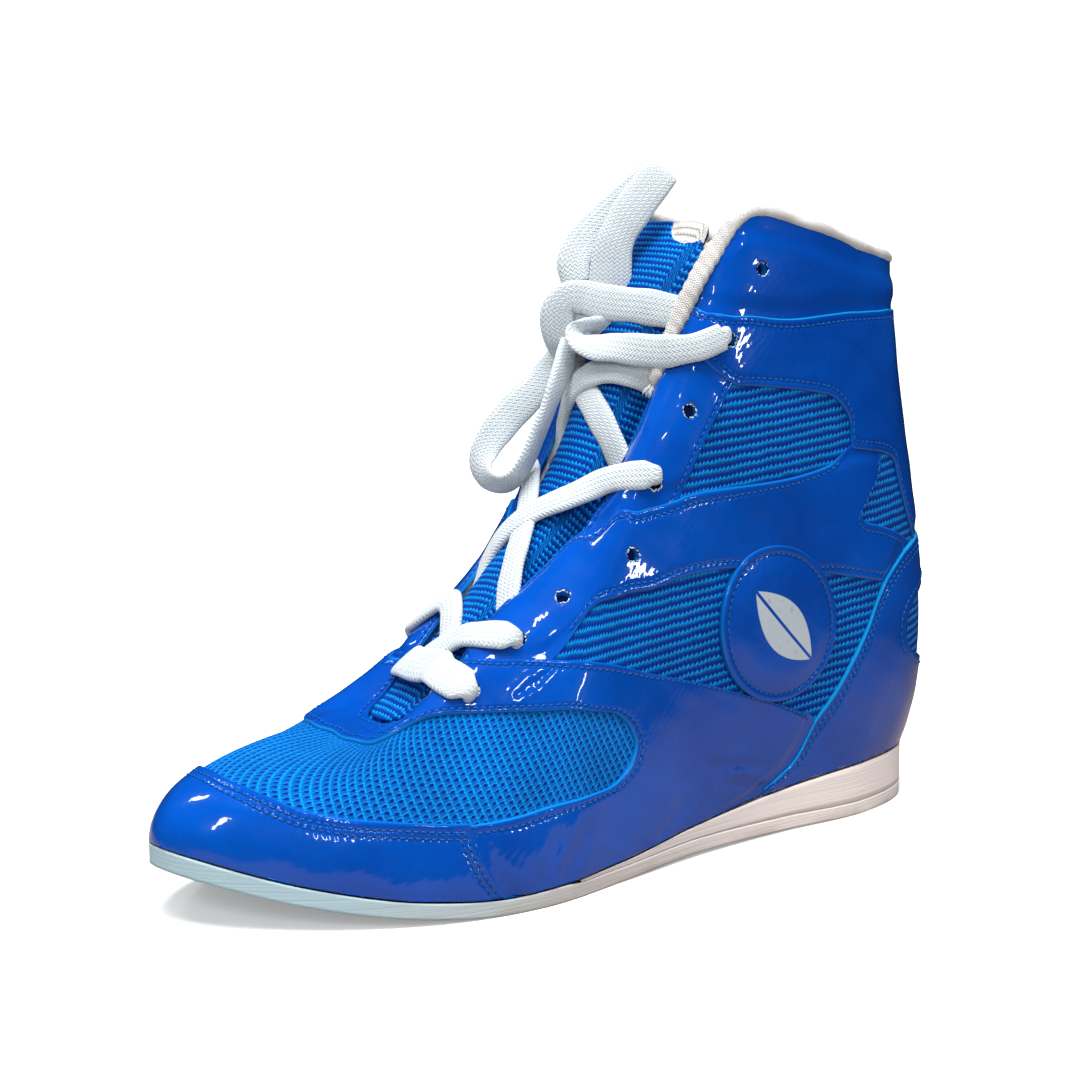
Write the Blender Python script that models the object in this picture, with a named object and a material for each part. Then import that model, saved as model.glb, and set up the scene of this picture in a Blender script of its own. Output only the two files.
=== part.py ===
"""Boxing shoe for the left foot: thin sole, hollow mesh upper, sewn patent panels, padded tongue and a flat lace.

+X points to the toe, +Y to the lateral side and +Z up. Sizes are millimetres until a mesh is made.
A place on the upper is a ring angle (0 at the back of the heel, 90 at the lateral waist, 180 at the toe tip)
and a height from 0 at the sole to 1 at the opening edge.
"""

import bmesh
import bpy
import numpy as np

for old in list(bpy.data.objects):
    bpy.data.objects.remove(old)

# Driving sizes
SOLE_LENGTH = 282.0
MIDDLE_X = 138.7
MIDDLE_Y = 2.6
MESH_DEPTH = 1.8
WALL = 1.8
PANEL = 0.9
FIT_GAP = 0.3
WEDGE_END = 0.615
SOLE_ROUND = 1.2
EYELET = 4.6
EYELET_SIDES = 8
BADGE_THICK = 0.9
BINDING = 3.6
BINDING_FRONT = 97.0
COLLAR_DROP = 2.2
COLLAR_FRONT_DROP = 3.4
TONGUE_THICK = 2.6
TONGUE_DROP = 6.6
TONGUE_SPREAD = 1.28
INSOLE_THICK = 2.6
INSOLE_INSET = 5.0
LACE_WIDTH = 8.0
LACE_THICK = 1.6
STAY_STEP = 0.5

# Plan of the sole: share of its length from the heel, lateral and medial half width, middle line
PLAN = np.array([
    (0.00, 0.0, 0.0, 0.0),
    (0.05, 22.5, 22.5, 0.0),
    (0.14, 32.0, 32.0, 0.0),
    (0.28, 33.5, 31.0, 0.0),
    (0.42, 37.5, 28.0, 0.0),
    (0.55, 45.0, 32.0, -0.3),
    (0.67, 51.5, 40.0, -1.2),
    (0.76, 50.0, 42.5, -2.6),
    (0.86, 40.3, 37.0, -4.6),
    (0.94, 25.9, 24.5, -6.2),
    (1.00, 0.0, 0.0, -7.0),
])

# Side view of the sole: share of its length, height of the underside, outsole and wedge thickness
FLOOR = np.array([
    (0.00, 1.6, 3.0, 13.1),
    (0.04, 0.0, 4.4, 13.1),
    (0.14, 0.0, 4.4, 12.7),
    (0.28, 0.6, 4.4, 9.0),
    (0.42, 1.2, 4.4, 4.3),
    (0.55, 0.3, 4.4, 1.4),
    (0.61, 0.0, 4.4, 0.9),
    (0.64, 0.0, 5.0, 0.0),
    (0.70, 0.0, 4.7, 0.0),
    (0.80, 2.0, 4.8, 0.0),
    (0.90, 7.0, 5.4, 0.0),
    (1.00, 15.5, 6.0, 0.0),
])

# Sections of the upper: ring angle, opening edge x y z, rise and flare off the sole, reach below the edge x y z
SECTIONS = np.array([
    (0, 14.0, 0.0, 182.0, 54.0, 15.0, -3.0, 0.0, -60.0),
    (28, 25.0, 25.0, 183.0, 48.0, 17.0, 1.0, 2.0, -61.0),
    (50, 46.0, 33.0, 187.0, 48.0, 10.0, 6.0, 5.0, -62.0),
    (66, 72.0, 35.5, 194.0, 42.0, 7.0, 14.0, 5.0, -65.0),
    (77, 94.5, 32.0, 198.0, 38.0, 5.0, 20.0, 8.0, -62.0),
    (86, 106.0, 27.0, 187.0, 34.0, 3.0, 22.0, 11.0, -50.0),
    (95, 115.0, 22.0, 166.0, 30.0, 2.0, 24.0, 12.0, -38.0),
    (104, 124.0, 19.0, 142.0, 26.0, 1.0, 26.0, 15.0, -30.0),
    (114, 137.0, 17.0, 116.5, 23.0, 1.0, 26.0, 17.0, -22.0),
    (124, 157.0, 15.0, 96.5, 22.0, 1.0, 26.0, 18.0, -14.0),
    (136, 180.0, 13.0, 79.0, 23.5, 1.0, 26.0, 19.0, -9.0),
    (150, 199.5, 10.0, 55.5, 23.0, 1.0, 26.0, 16.0, -3.0),
    (165, 208.0, 5.0, 49.5, 21.5, 0.0, 30.0, 8.0, -1.0),
    (180, 210.0, -2.0, 49.0, 21.5, -1.0, 32.0, -2.0, -1.0),
    (195, 208.0, -8.5, 50.5, 23.0, -1.0, 28.0, -9.0, -2.0),
    (210, 198.5, -11.0, 56.5, 21.5, 0.0, 22.0, -13.5, -7.0),
    (224, 179.0, -12.5, 75.5, 19.0, 0.0, 18.0, -13.0, -16.0),
    (236, 157.0, -14.0, 97.0, 18.0, 0.0, 18.0, -12.0, -25.0),
    (246, 137.5, -16.0, 118.0, 22.0, 0.0, 20.0, -13.0, -32.0),
    (256, 124.0, -18.0, 142.0, 26.0, 1.0, 22.0, -13.0, -37.0),
    (265, 115.0, -22.0, 166.0, 30.0, 2.0, 22.0, -11.0, -42.0),
    (274, 106.0, -27.0, 187.0, 34.0, 3.0, 22.0, -10.0, -52.0),
    (283, 94.5, -32.0, 198.0, 38.0, 5.0, 20.0, -8.0, -62.0),
    (294, 72.0, -35.0, 194.0, 42.0, 7.0, 14.0, -5.0, -65.0),
    (310, 46.0, -32.5, 187.0, 48.0, 10.0, 6.0, -5.0, -62.0),
    (332, 25.0, -25.0, 183.0, 48.0, 16.0, 1.0, -2.0, -61.0),
])

# Ring angles of the upper's own rows: spacing is closer round the heel and the toe
RING_LATERAL = np.concatenate([np.arange(0, 44, 5.5), np.arange(44, 68, 8.0), np.arange(68, 178, 5.0)])
RING = np.concatenate([RING_LATERAL, [180.0], 360.0 - RING_LATERAL[:0:-1]])
HEIGHTS = np.array([0.0, 0.07, 0.15, 0.25, 0.37, 0.50, 0.63, 0.76, 0.88, 1.0])

# Toe cap, lateral half: angle and height along its lower edge, angle and height along its upper edge
TOE_CAP = np.array([
    (116.8, 0.012, 124.2, 0.232),
    (122.5, 0.012, 130.0, 0.247),
    (130.0, 0.012, 136.5, 0.262),
    (140.0, 0.012, 146.0, 0.310),
    (154.0, 0.012, 157.0, 0.382),
    (167.0, 0.012, 168.0, 0.420),
    (180.0, 0.012, 180.0, 0.438),
])

# Vamp band, lateral half, from the toe cap's seam round the mesh window to the throat: window edge, outer edge
VAMP_BAND = np.array([
    (123.2, 0.226, 116.0, 0.012),
    (112.5, 0.238, 104.0, 0.012),
    (103.5, 0.208, 90.0, 0.012),
    (98.3, 0.184, 78.0, 0.012),
    (96.0, 0.192, 69.4, 0.022),
    (94.6, 0.210, 63.0, 0.068),
    (94.0, 0.232, 59.4, 0.143),
    (94.8, 0.265, 64.0, 0.190),
    (97.5, 0.298, 76.5, 0.272),
    (103.5, 0.362, 90.5, 0.357),
    (112.0, 0.437, 104.5, 0.472),
    (124.0, 0.517, 116.0, 0.576),
    (134.5, 0.580, 127.0, 0.676),
    (141.8, 0.640, 138.0, 0.815),
    (149.0, 0.705, 146.0, 0.985),
    (158.0, 0.770, 156.0, 0.985),
    (170.0, 0.818, 169.0, 0.985),
    (180.0, 0.832, 180.0, 0.985),
])

# Eyestay wave, one side, from the throat back to the counter: lower edge, upper edge
EYESTAY_WAVE = np.array([
    (138.0, 0.850, 143.5, 0.985),
    (128.3, 0.704, 133.0, 0.985),
    (117.3, 0.604, 122.5, 0.980),
    (109.5, 0.607, 115.0, 0.858),
    (100.0, 0.547, 105.0, 0.750),
    (91.5, 0.498, 96.5, 0.652),
    (84.0, 0.482, 86.5, 0.602),
    (77.0, 0.472, 78.0, 0.588),
    (68.5, 0.457, 67.0, 0.600),
    (61.0, 0.438, 59.5, 0.618),
    (55.5, 0.426, 53.5, 0.636),
    (53.5, 0.419, 51.5, 0.590),
    (51.5, 0.413, 50.5, 0.540),
    (48.0, 0.404, 45.5, 0.506),
    (44.2, 0.396, 37.5, 0.484),
])

# Upper eyestay, one side, from the throat back to the ankle window: lower edge, upper edge
EYESTAY_TAB = np.array([
    (118.5, 0.955, 101.0, 0.960),
    (112.5, 0.845, 95.8, 0.910),
    (105.0, 0.768, 90.8, 0.852),
    (98.0, 0.685, 84.5, 0.795),
    (91.5, 0.634, 80.0, 0.755),
    (86.5, 0.616, 77.3, 0.732),
])

# Ankle band, lateral half, from the throat to the back with its strip down the heel: lower edge, upper edge
ANKLE_BAND = np.array([
    (99.5, 0.950, 91.2, 0.952),
    (89.6, 0.860, 84.0, 0.868),
    (80.0, 0.775, 76.5, 0.838),
    (75.0, 0.744, 72.0, 0.840),
    (66.0, 0.746, 66.0, 0.853),
    (59.5, 0.742, 60.0, 0.868),
    (55.2, 0.722, 54.5, 0.880),
    (53.0, 0.690, 50.0, 0.887),
    (52.0, 0.656, 46.5, 0.892),
    (42.0, 0.650, 40.0, 0.899),
    (37.4, 0.636, 35.5, 0.903),
    (34.8, 0.572, 30.0, 0.905),
    (30.0, 0.496, 25.0, 0.907),
    (26.5, 0.478, 20.0, 0.908),
    (12.0, 0.474, 11.0, 0.908),
    (0.0, 0.474, 0.0, 0.908),
])

# Cuff top, lateral half, above the ankle band: lower edge, upper edge
CUFF_TOP = np.array([
    (90.0, 0.953, 88.0, 0.964),
    (83.4, 0.876, 82.0, 0.972),
    (76.5, 0.846, 76.0, 0.972),
    (72.0, 0.848, 71.5, 0.972),
    (66.0, 0.861, 65.5, 0.972),
    (60.0, 0.876, 59.5, 0.972),
    (51.5, 0.893, 51.0, 0.972),
    (42.0, 0.905, 42.0, 0.972),
    (28.0, 0.914, 28.0, 0.972),
    (14.0, 0.916, 14.0, 0.972),
    (0.0, 0.916, 0.0, 0.972),
])

# Heel counter, lateral half: lower edge, upper edge
HEEL_COUNTER = np.array([
    (67.6, 0.010, 67.6, 0.017),
    (61.0, 0.010, 61.8, 0.062),
    (56.5, 0.010, 58.2, 0.136),
    (51.5, 0.010, 54.6, 0.182),
    (46.0, 0.010, 48.6, 0.285),
    (40.0, 0.010, 43.0, 0.390),
    (32.0, 0.010, 34.0, 0.450),
    (24.0, 0.010, 25.0, 0.468),
    (12.0, 0.010, 12.0, 0.468),
    (0.0, 0.010, 0.0, 0.468),
])

# Badge on the lateral side: middle and half sizes as angle and height, and the slope of its long axis
BADGE_MIDDLE = (66.6, 0.355)
BADGE_HALF = (11.0, 0.140)
BADGE_SLOPE = 0.0025

# Eyelet holes of one side, from the toe end up: ring angle and height
EYELETS = np.array([
    (129.5, 0.615),
    (124.0, 0.700),
    (117.5, 0.730),
    (98.0, 0.595),
    (94.0, 0.675),
    (86.5, 0.730),
    (78.0, 0.805),
    (73.5, 0.910),
])

# Crown of the tongue above the throat edges: ring angle, height
CROWN = np.array([
    (70, 0.5),
    (80, 0.5),
    (86, 1.5),
    (90, 4.5),
    (95, 7.0),
    (104, 7.5),
    (114, 6.5),
    (124, 4.0),
    (136, 2.0),
    (150, 1.5),
    (165, 0.5),
    (180, 0.0),
])
TONGUE_STATIONS = np.array([174, 164, 154, 145, 136, 128, 120, 113, 107, 101, 96, 91, 87, 83.5, 81])

# Lace straps over the instep: ring angle, place across (1 at the lateral edge, -1 at the medial), lift
STRAP_FIRST = np.array([
    (130.2, 1.74, 1.7),
    (136.0, 1.56, 2.0),
    (142.5, 1.10, 3.6),
    (146.3, 0.55, 4.2),
    (146.5, 0.00, 3.5),
    (146.3, -0.55, 4.0),
    (142.5, -1.10, 3.6),
    (136.0, -1.56, 2.0),
    (130.2, -1.74, 1.7),
])
STRAP_SECOND = np.array([
    (125.0, 1.56, 1.7),
    (131.5, 1.40, 2.0),
    (137.8, 1.02, 2.5),
    (140.2, 0.48, 3.1),
    (142.0, 0.00, 2.9),
    (144.2, -0.60, 2.6),
])
STRAP_SECOND_UNDER = np.array([
    (125.0, -1.56, 1.7),
    (128.5, -1.15, 2.2),
    (131.5, -0.55, 2.0),
    (134.5, 0.00, 1.7),
    (138.5, 0.24, 1.7),
    (142.5, 0.40, 1.7),
])
STRAP_FIFTH = np.array([
    (95.5, 1.60, 1.7),
    (103.0, 1.43, 2.0),
    (110.5, 1.18, 3.0),
    (117.2, 0.74, 2.6),
    (121.0, 0.10, 3.1),
    (123.5, -0.40, 2.5),
    (126.0, -0.75, 1.8),
])
STRAP_FIFTH_UNDER = np.array([
    (95.5, -1.60, 1.7),
    (103.0, -1.43, 2.0),
    (110.5, -1.18, 3.0),
    (116.5, -0.74, 2.2),
    (121.0, -0.10, 1.8),
    (126.0, 0.34, 1.8),
    (131.0, 0.70, 1.6),
])
STRAP_UPPER = np.array([
    (107.0, -0.72, 1.9),
    (104.5, -0.30, 3.1),
    (102.4, 0.10, 3.1),
    (101.8, 0.72, 1.9),
])
STRAP_UPPER_UNDER = np.array([
    (110.0, 0.78, 1.6),
    (107.5, 0.40, 1.8),
    (104.6, -0.15, 1.8),
    (103.0, -0.72, 1.6),
])
STRAP_TOP = np.array([
    (80.5, 1.37, 1.4),
    (86.0, 1.35, 1.5),
    (91.5, 1.25, 1.7),
    (98.0, 0.92, 3.2),
    (99.2, 0.40, 5.4),
    (98.8, 0.00, 5.4),
    (99.2, -0.40, 5.4),
    (98.0, -0.92, 3.2),
    (91.5, -1.25, 1.7),
    (86.0, -1.35, 1.5),
    (80.5, -1.37, 1.4),
])
TUCKED_END = np.array([
    (94.6, -0.42, 7.2),
    (94.0, -0.18, 5.0),
    (93.4, 0.06, 2.4),
    (93.0, 0.30, 1.3),
    (93.0, 0.52, 0.9),
    (92.6, 0.76, -0.7),
])

# Knot: middle x y z, half sizes across, along the throat and outward
KNOT_MIDDLE = (129.4, -16.8, 165.6)
KNOT_HALF = (8.0, 5.5, 3.8)
KNOT_SIDES = 10

# Bow loops: x, y, z along the lace and the turn of its flat away from the viewer's side, degrees
LOOP_HANGING = np.array([
    (131.5, -18.0, 156.0, 10),
    (138.0, -20.0, 146.0, 0),
    (146.5, -23.0, 136.0, 0),
    (153.5, -26.0, 126.5, 10),
    (155.5, -27.0, 120.0, 35),
    (153.0, -26.0, 114.5, 60),
    (152.5, -17.0, 114.0, 65),
    (152.0, -10.0, 118.0, 35),
    (149.5, -8.0, 123.5, 15),
    (145.5, -7.0, 132.0, 5),
    (141.0, -6.5, 142.5, 0),
    (135.5, -9.5, 153.0, 0),
])
LOOP_UPRIGHT = np.array([
    (131.0, -13.5, 174.8, 0),
    (126.0, -11.0, 181.5, 0),
    (122.5, -8.0, 191.5, 0),
    (113.5, -5.0, 203.5, 10),
    (105.0, -4.0, 211.5, 45),
    (98.5, -4.5, 210.5, 100),
    (95.5, -5.5, 205.0, 150),
    (104.5, -3.5, 198.0, 175),
    (113.0, -2.0, 188.5, 180),
    (118.5, -4.0, 181.0, 180),
])
VIEWED_FROM = np.array([0.57, 0.81, 0.15])

PATENT = (0.010, 0.075, 0.520, 1.0)
MESH_CLOTH = (0.090, 0.300, 0.720, 1.0)
WHITE_RUBBER = (0.800, 0.800, 0.770, 1.0)
WHITE_CLOTH = (0.830, 0.830, 0.810, 1.0)


def hermite(knots, values, slopes, at):
    """Cubic through the rows with the given slopes."""
    cell = np.clip(np.searchsorted(knots, at, side="right") - 1, 0, len(knots) - 2)
    width = (knots[cell + 1] - knots[cell])[..., None]
    part = (at - knots[cell])[..., None] / width
    low, high = values[cell], values[cell + 1]
    return (
        (1 + 2 * part) * (1 - part) ** 2 * low
        + part * (1 - part) ** 2 * width * slopes[cell]
        + part ** 2 * (3 - 2 * part) * high
        + part ** 2 * (part - 1) * width * slopes[cell + 1]
    )


def smooth(knots, values, at):
    """Smooth curve through the rows."""
    return hermite(knots, values, np.gradient(values, knots, axis=0), np.asarray(at, float))


def level(knots, values, at):
    """Smooth curve through the rows that never passes beyond them, so level stretches stay level."""
    steps = np.diff(values, axis=0) / np.diff(knots)[:, None]
    before, after = steps[:-1], steps[1:]
    same_way = before * after > 0
    total = np.where(same_way, before + after, 1.0)
    slopes = np.zeros_like(values)
    slopes[1:-1] = np.where(same_way, 2 * before * after / total, 0.0)
    slopes[0] = steps[0]
    slopes[-1] = steps[-1]
    return hermite(knots, values, slopes, np.asarray(at, float))


def unit(vectors):
    return vectors / np.linalg.norm(vectors, axis=-1, keepdims=True)


def half_widths(share):
    """Lateral half width, medial half width and middle line; squares are interpolated so that both ends are round."""
    squares = np.concatenate([PLAN[:, 1:3] ** 2, PLAN[:, 3:]], axis=1)
    row = smooth(PLAN[:, 0], squares, share)
    return np.sqrt(np.maximum(row[..., 0], 0)), np.sqrt(np.maximum(row[..., 1], 0)), row[..., 2]


def sole_heights(share):
    """Underside, outsole top and wedge top."""
    row = level(FLOOR[:, 0], FLOOR[:, 1:], share)
    under = row[..., 0]
    outsole_top = under + row[..., 1]
    return under, outsole_top, outsole_top + row[..., 2]


def share_of(angle):
    return (1 - np.cos(np.radians(angle))) / 2


def feather(angle):
    """Line where the upper meets the sole."""
    share = share_of(angle)
    lateral, medial, middle = half_widths(share)
    on_lateral = np.mod(angle, 360) <= 180
    y = middle + np.where(on_lateral, lateral, -medial)
    return np.stack([share * SOLE_LENGTH, y, sole_heights(share)[2] + FIT_GAP], axis=-1)


def section_rows(angle):
    """The section table at any ring angle, carried round past both ends."""
    count = len(SECTIONS)
    around = np.concatenate([SECTIONS[-4:], SECTIONS, SECTIONS[:4]])
    around[:4, 0] -= 360
    around[4 + count:, 0] += 360
    return smooth(around[:, 0], around[:, 1:], np.mod(angle, 360))


def surface(angle, height):
    """Outside of the finished upper."""
    angle, height = np.broadcast_arrays(np.asarray(angle, float), np.asarray(height, float))
    foot = feather(angle)
    along = unit(feather(angle + 0.5) - feather(angle - 0.5))
    outward = np.stack([-along[..., 1], along[..., 0], np.zeros_like(angle)], axis=-1)
    row = section_rows(angle)
    edge = row[..., 0:3]
    above = foot + outward * row[..., 4:5]
    above[..., 2] += row[..., 3]
    below = edge + row[..., 5:8]
    part = height[..., None]
    return (
        (1 - part) ** 3 * foot
        + 3 * part * (1 - part) ** 2 * above
        + 3 * part ** 2 * (1 - part) * below
        + part ** 3 * edge
    )


def upper_point(angle, height, lift):
    """A point set off the outside of the upper by a lift, outward when positive."""
    angle, height = np.broadcast_arrays(np.asarray(angle, float), np.asarray(height, float))
    round_way = surface(angle + 0.4, height) - surface(angle - 0.4, height)
    up_way = surface(angle, height + 0.004) - surface(angle, height - 0.004)
    outward = unit(np.cross(up_way, round_way))
    return surface(angle, height) + outward * np.asarray(lift, float)[..., None]


def instep(angle, across, lift):
    """A point over the throat: across is 1 at the lateral edge and -1 at the medial; beyond, it runs down the stay."""
    angle, across, lift = (np.asarray(value, float) for value in (angle, across, lift))

    def place(angle, across):
        lateral = surface(angle, 1.0)
        medial = surface(360 - angle, 1.0)
        slope = surface(angle + 1, 1.0) + surface(359 - angle, 1.0)
        slope = slope - surface(angle - 1, 1.0) - surface(361 - angle, 1.0)
        rise = unit(np.stack([-slope[..., 2], np.zeros_like(angle), slope[..., 0]], axis=-1))
        crown = smooth(CROWN[:, 0], CROWN[:, 1:], angle)
        inside = np.clip(across, -1, 1)[..., None]
        point = (lateral + medial) / 2 + inside * (lateral - medial) / 2 + rise * crown * (1 - inside ** 2)
        down = 1 - np.maximum(np.abs(across) - 1, 0) * STAY_STEP
        stay = surface(np.where(across > 0, angle, 360 - angle), down)
        return np.where((np.abs(across) > 1)[..., None], stay, point)

    up_way = place(angle - 1.0, across) - place(angle + 1.0, across)
    out_way = place(angle, across + 0.06) - place(angle, across - 0.06)
    normal = unit(np.cross(up_way, -out_way))
    return place(angle, across) + normal * lift[..., None], normal


def material(name, colour, roughness):
    made = bpy.data.materials.new(name)
    made.use_nodes = True
    shader = made.node_tree.nodes["Principled BSDF"]
    shader.inputs["Base Color"].default_value = colour
    shader.inputs["Roughness"].default_value = roughness
    return made


def finish(name, bm, colour, roughness):
    """Turns a millimetre mesh into an object in the part's frame."""
    bmesh.ops.recalc_face_normals(bm, faces=bm.faces[:])
    bmesh.ops.translate(bm, verts=bm.verts[:], vec=(-MIDDLE_X, -MIDDLE_Y, 0))
    bmesh.ops.scale(bm, verts=bm.verts[:], vec=(0.001, 0.001, 0.001))
    mesh = bpy.data.meshes.new(name)
    bm.to_mesh(mesh)
    bm.free()
    made = bpy.data.objects.new(name, mesh)
    made.data.materials.append(material(name, colour, roughness))
    bpy.context.scene.collection.objects.link(made)
    return made


def shell(name, outer, inner, closed, colour, roughness):
    """Solid between two grids of points: rows run along the first index, closed when the last row meets the first."""
    rows, columns = outer.shape[:2]
    bm = bmesh.new()
    out = [[bm.verts.new(point) for point in row] for row in outer]
    back = [[bm.verts.new(point) for point in row] for row in inner]
    for i in range(rows if closed else rows - 1):
        j = (i + 1) % rows
        for k in range(columns - 1):
            bm.faces.new((out[i][k], out[j][k], out[j][k + 1], out[i][k + 1]))
            bm.faces.new((back[i][k + 1], back[j][k + 1], back[j][k], back[i][k]))
        for k, turn in ((0, 1), (columns - 1, -1)):
            bm.faces.new((back[i][k], back[j][k], out[j][k], out[i][k])[::turn])
    for i, turn in () if closed else ((0, 1), (rows - 1, -1)):
        for k in range(columns - 1):
            bm.faces.new((out[i][k], out[i][k + 1], back[i][k + 1], back[i][k])[::turn])
    return finish(name, bm, colour, roughness)


def loft(name, rings, colour, roughness, closed=False):
    """Solid through a row of closed rings of points."""
    bm = bmesh.new()
    loops = [[bm.verts.new(point) for point in ring] for ring in rings]
    count = len(loops[0])
    for i in range(len(loops) if closed else len(loops) - 1):
        first, second = loops[i], loops[(i + 1) % len(loops)]
        for k in range(count):
            bm.faces.new((first[k], first[(k + 1) % count], second[(k + 1) % count], second[k]))
    if not closed:
        bm.faces.new(loops[0][::-1])
        bm.faces.new(loops[-1])
    return finish(name, bm, colour, roughness)


def mirrored(table):
    """A lateral half table carried on to the medial side."""
    back = table[-2::-1].copy()
    back[:, 0] = 360 - back[:, 0]
    back[:, 2] = 360 - back[:, 2]
    return np.concatenate([table, back])


def mirrored_back(table):
    """A lateral half table that ends at the heel, carried on to the medial side."""
    back = table[-2::-1].copy()
    back[:, 0] *= -1
    back[:, 2] *= -1
    return np.concatenate([table, back])


def panel(name, table, steps, spans, low_lift=-PANEL, high_lift=0.0):
    """Thin patent panel sewn on the upper between two edges; steps per table row, spans across it."""
    knots = np.arange(len(table), dtype=float)
    rows = level(knots, table, np.linspace(0, knots[-1], (len(table) - 1) * steps + 1))
    across = np.linspace(0, 1, spans + 1)
    angle = rows[:, 0:1] * (1 - across) + rows[:, 2:3] * across
    height = rows[:, 1:2] * (1 - across) + rows[:, 3:4] * across
    outer = upper_point(angle, height, np.full(angle.shape, high_lift))
    inner = upper_point(angle, height, np.full(angle.shape, low_lift))
    return shell(name, outer, inner, False, PATENT, 0.12)


def sole_layer(name, shares, low, high, low_round, high_round):
    """Slab of the sole between two height functions, its lower and upper rims rounded in."""
    lateral, medial, middle = half_widths(shares)
    rings = []
    for lat, med, mid, share, bottom, top in zip(lateral, medial, middle, shares, low, high):
        x = share * SOLE_LENGTH
        lift = min(low_round, 0.4 * (top - bottom), 0.4 * lat)
        drop = min(high_round, 0.4 * (top - bottom), 0.4 * lat)
        rings.append([
            (x, mid + lat - lift, bottom),
            (x, mid + lat, bottom + lift),
            (x, mid + lat, top - drop),
            (x, mid + lat - drop, top),
            (x, mid - med + drop, top),
            (x, mid - med, top - drop),
            (x, mid - med, bottom + lift),
            (x, mid - med + lift, bottom),
        ])
    return loft(name, rings, WHITE_RUBBER, 0.55)


def ribbon(name, centre, normal, width=LACE_WIDTH, thick=LACE_THICK):
    """Flat lace swept along a line, its flat side turned to the normal."""
    along = unit(np.gradient(centre, axis=0))
    side = unit(np.cross(normal, along))
    up = np.cross(along, side)
    rings = np.stack([
        centre + side * width / 2 + up * thick / 2,
        centre - side * width / 2 + up * thick / 2,
        centre - side * width / 2 - up * thick / 2,
        centre + side * width / 2 - up * thick / 2,
    ], axis=1)
    return loft(name, rings, WHITE_CLOTH, 0.85)


def strap(name, rows, count):
    """Lace strap over the instep through rows of angle, place across and lift, eased over the throat edges."""
    knots = np.arange(len(rows), dtype=float)
    path = smooth(knots, rows, np.linspace(0, knots[-1], count))
    centre, normal = instep(path[:, 0], path[:, 1], path[:, 2])
    for line in (centre, normal):
        line[1:-1] = (line[:-2] + 2 * line[1:-1] + line[2:]) / 4
    return ribbon(name, centre, unit(normal))


def bow_loop(name, rows, count):
    """Lace loop through rows of x, y, z and turn."""
    knots = np.arange(len(rows), dtype=float)
    path = smooth(knots, rows, np.linspace(0, knots[-1], count))
    centre = path[:, :3]
    along = unit(np.gradient(centre, axis=0))
    facing = unit(VIEWED_FROM - along * (along @ VIEWED_FROM)[:, None])
    turn = np.radians(path[:, 3:])
    return ribbon(name, centre, facing * np.cos(turn) + np.cross(along, facing) * np.sin(turn))


def join(base, other):
    """Unites another solid with the base and keeps it out of the render."""
    other.hide_render = True
    other.display_type = "WIRE"
    union = base.modifiers.new(other.name, "BOOLEAN")
    union.operation = "UNION"
    union.solver = "EXACT"
    union.object = other


def pierce(target, cutter):
    cut = target.modifiers.new("eyelets", "BOOLEAN")
    cut.operation = "DIFFERENCE"
    cut.solver = "EXACT"
    cut.object = cutter


# Outsole: one thin rubber sheet over the whole length
outsole_shares = share_of(np.concatenate([[3.0], np.linspace(9, 171, 27), [177.0]]))
underside, outsole_top, wedge_top = sole_heights(outsole_shares)
sole_layer("outsole", outsole_shares, underside, outsole_top, SOLE_ROUND, SOLE_ROUND / 3)

# Heel wedge: foam between outsole and upper, thinning out behind the ball
wedge_angle = np.degrees(np.arccos(1 - 2 * WEDGE_END))
wedge_shares = share_of(np.concatenate([[3.0], np.linspace(9, wedge_angle, 16)]))
underside, outsole_top, wedge_top = sole_heights(wedge_shares)
sole_layer("heel_wedge", wedge_shares, outsole_top + FIT_GAP, wedge_top, SOLE_ROUND / 3, SOLE_ROUND / 3)

# Insole: flat footbed inside the upper's wall
insole_shares = share_of(np.linspace(28, 150, 15))
lateral, medial, middle = half_widths(insole_shares)
insole_rings = []
for lat, med, mid, share, top in zip(lateral, medial, middle, insole_shares, sole_heights(insole_shares)[2]):
    low = top + FIT_GAP
    insole_rings.append([
        (share * SOLE_LENGTH, mid + lat - INSOLE_INSET, low),
        (share * SOLE_LENGTH, mid + lat - INSOLE_INSET, low + INSOLE_THICK),
        (share * SOLE_LENGTH, mid - med + INSOLE_INSET, low + INSOLE_THICK),
        (share * SOLE_LENGTH, mid - med + INSOLE_INSET, low),
    ])
loft("insole", insole_rings, WHITE_CLOTH, 0.9)

# Upper: one hollow shell of mesh on its lining, open at collar, throat and sole
ring_grid, height_grid = np.meshgrid(RING, HEIGHTS, indexing="ij")
from_heel = np.minimum(ring_grid, 360 - ring_grid)
in_collar = np.clip((BINDING_FRONT + 7 - from_heel) / 5, 0, 1)
climb = (surface(RING, 1.0) - surface(RING, 0.99)) / 0.01
edge_way = unit(surface(RING + 0.4, 1.0) - surface(RING - 0.4, 1.0))
drop = np.interp(from_heel[:, 0], (68, 84), (COLLAR_DROP, COLLAR_FRONT_DROP))
room = drop / np.linalg.norm(np.cross(climb, edge_way), axis=1)
height_grid = height_grid * (1 - room[:, None] * in_collar)
upper_outer = upper_point(ring_grid, height_grid, np.full(ring_grid.shape, -MESH_DEPTH))
upper_inner = upper_point(ring_grid, height_grid, np.full(ring_grid.shape, -MESH_DEPTH - WALL))
upper_outer[:, 0, 2] = feather(RING)[:, 2]
upper_inner[:, 0, 2] = feather(RING)[:, 2]
upper = shell("upper", upper_outer, upper_inner, True, MESH_CLOTH, 0.8)

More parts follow.
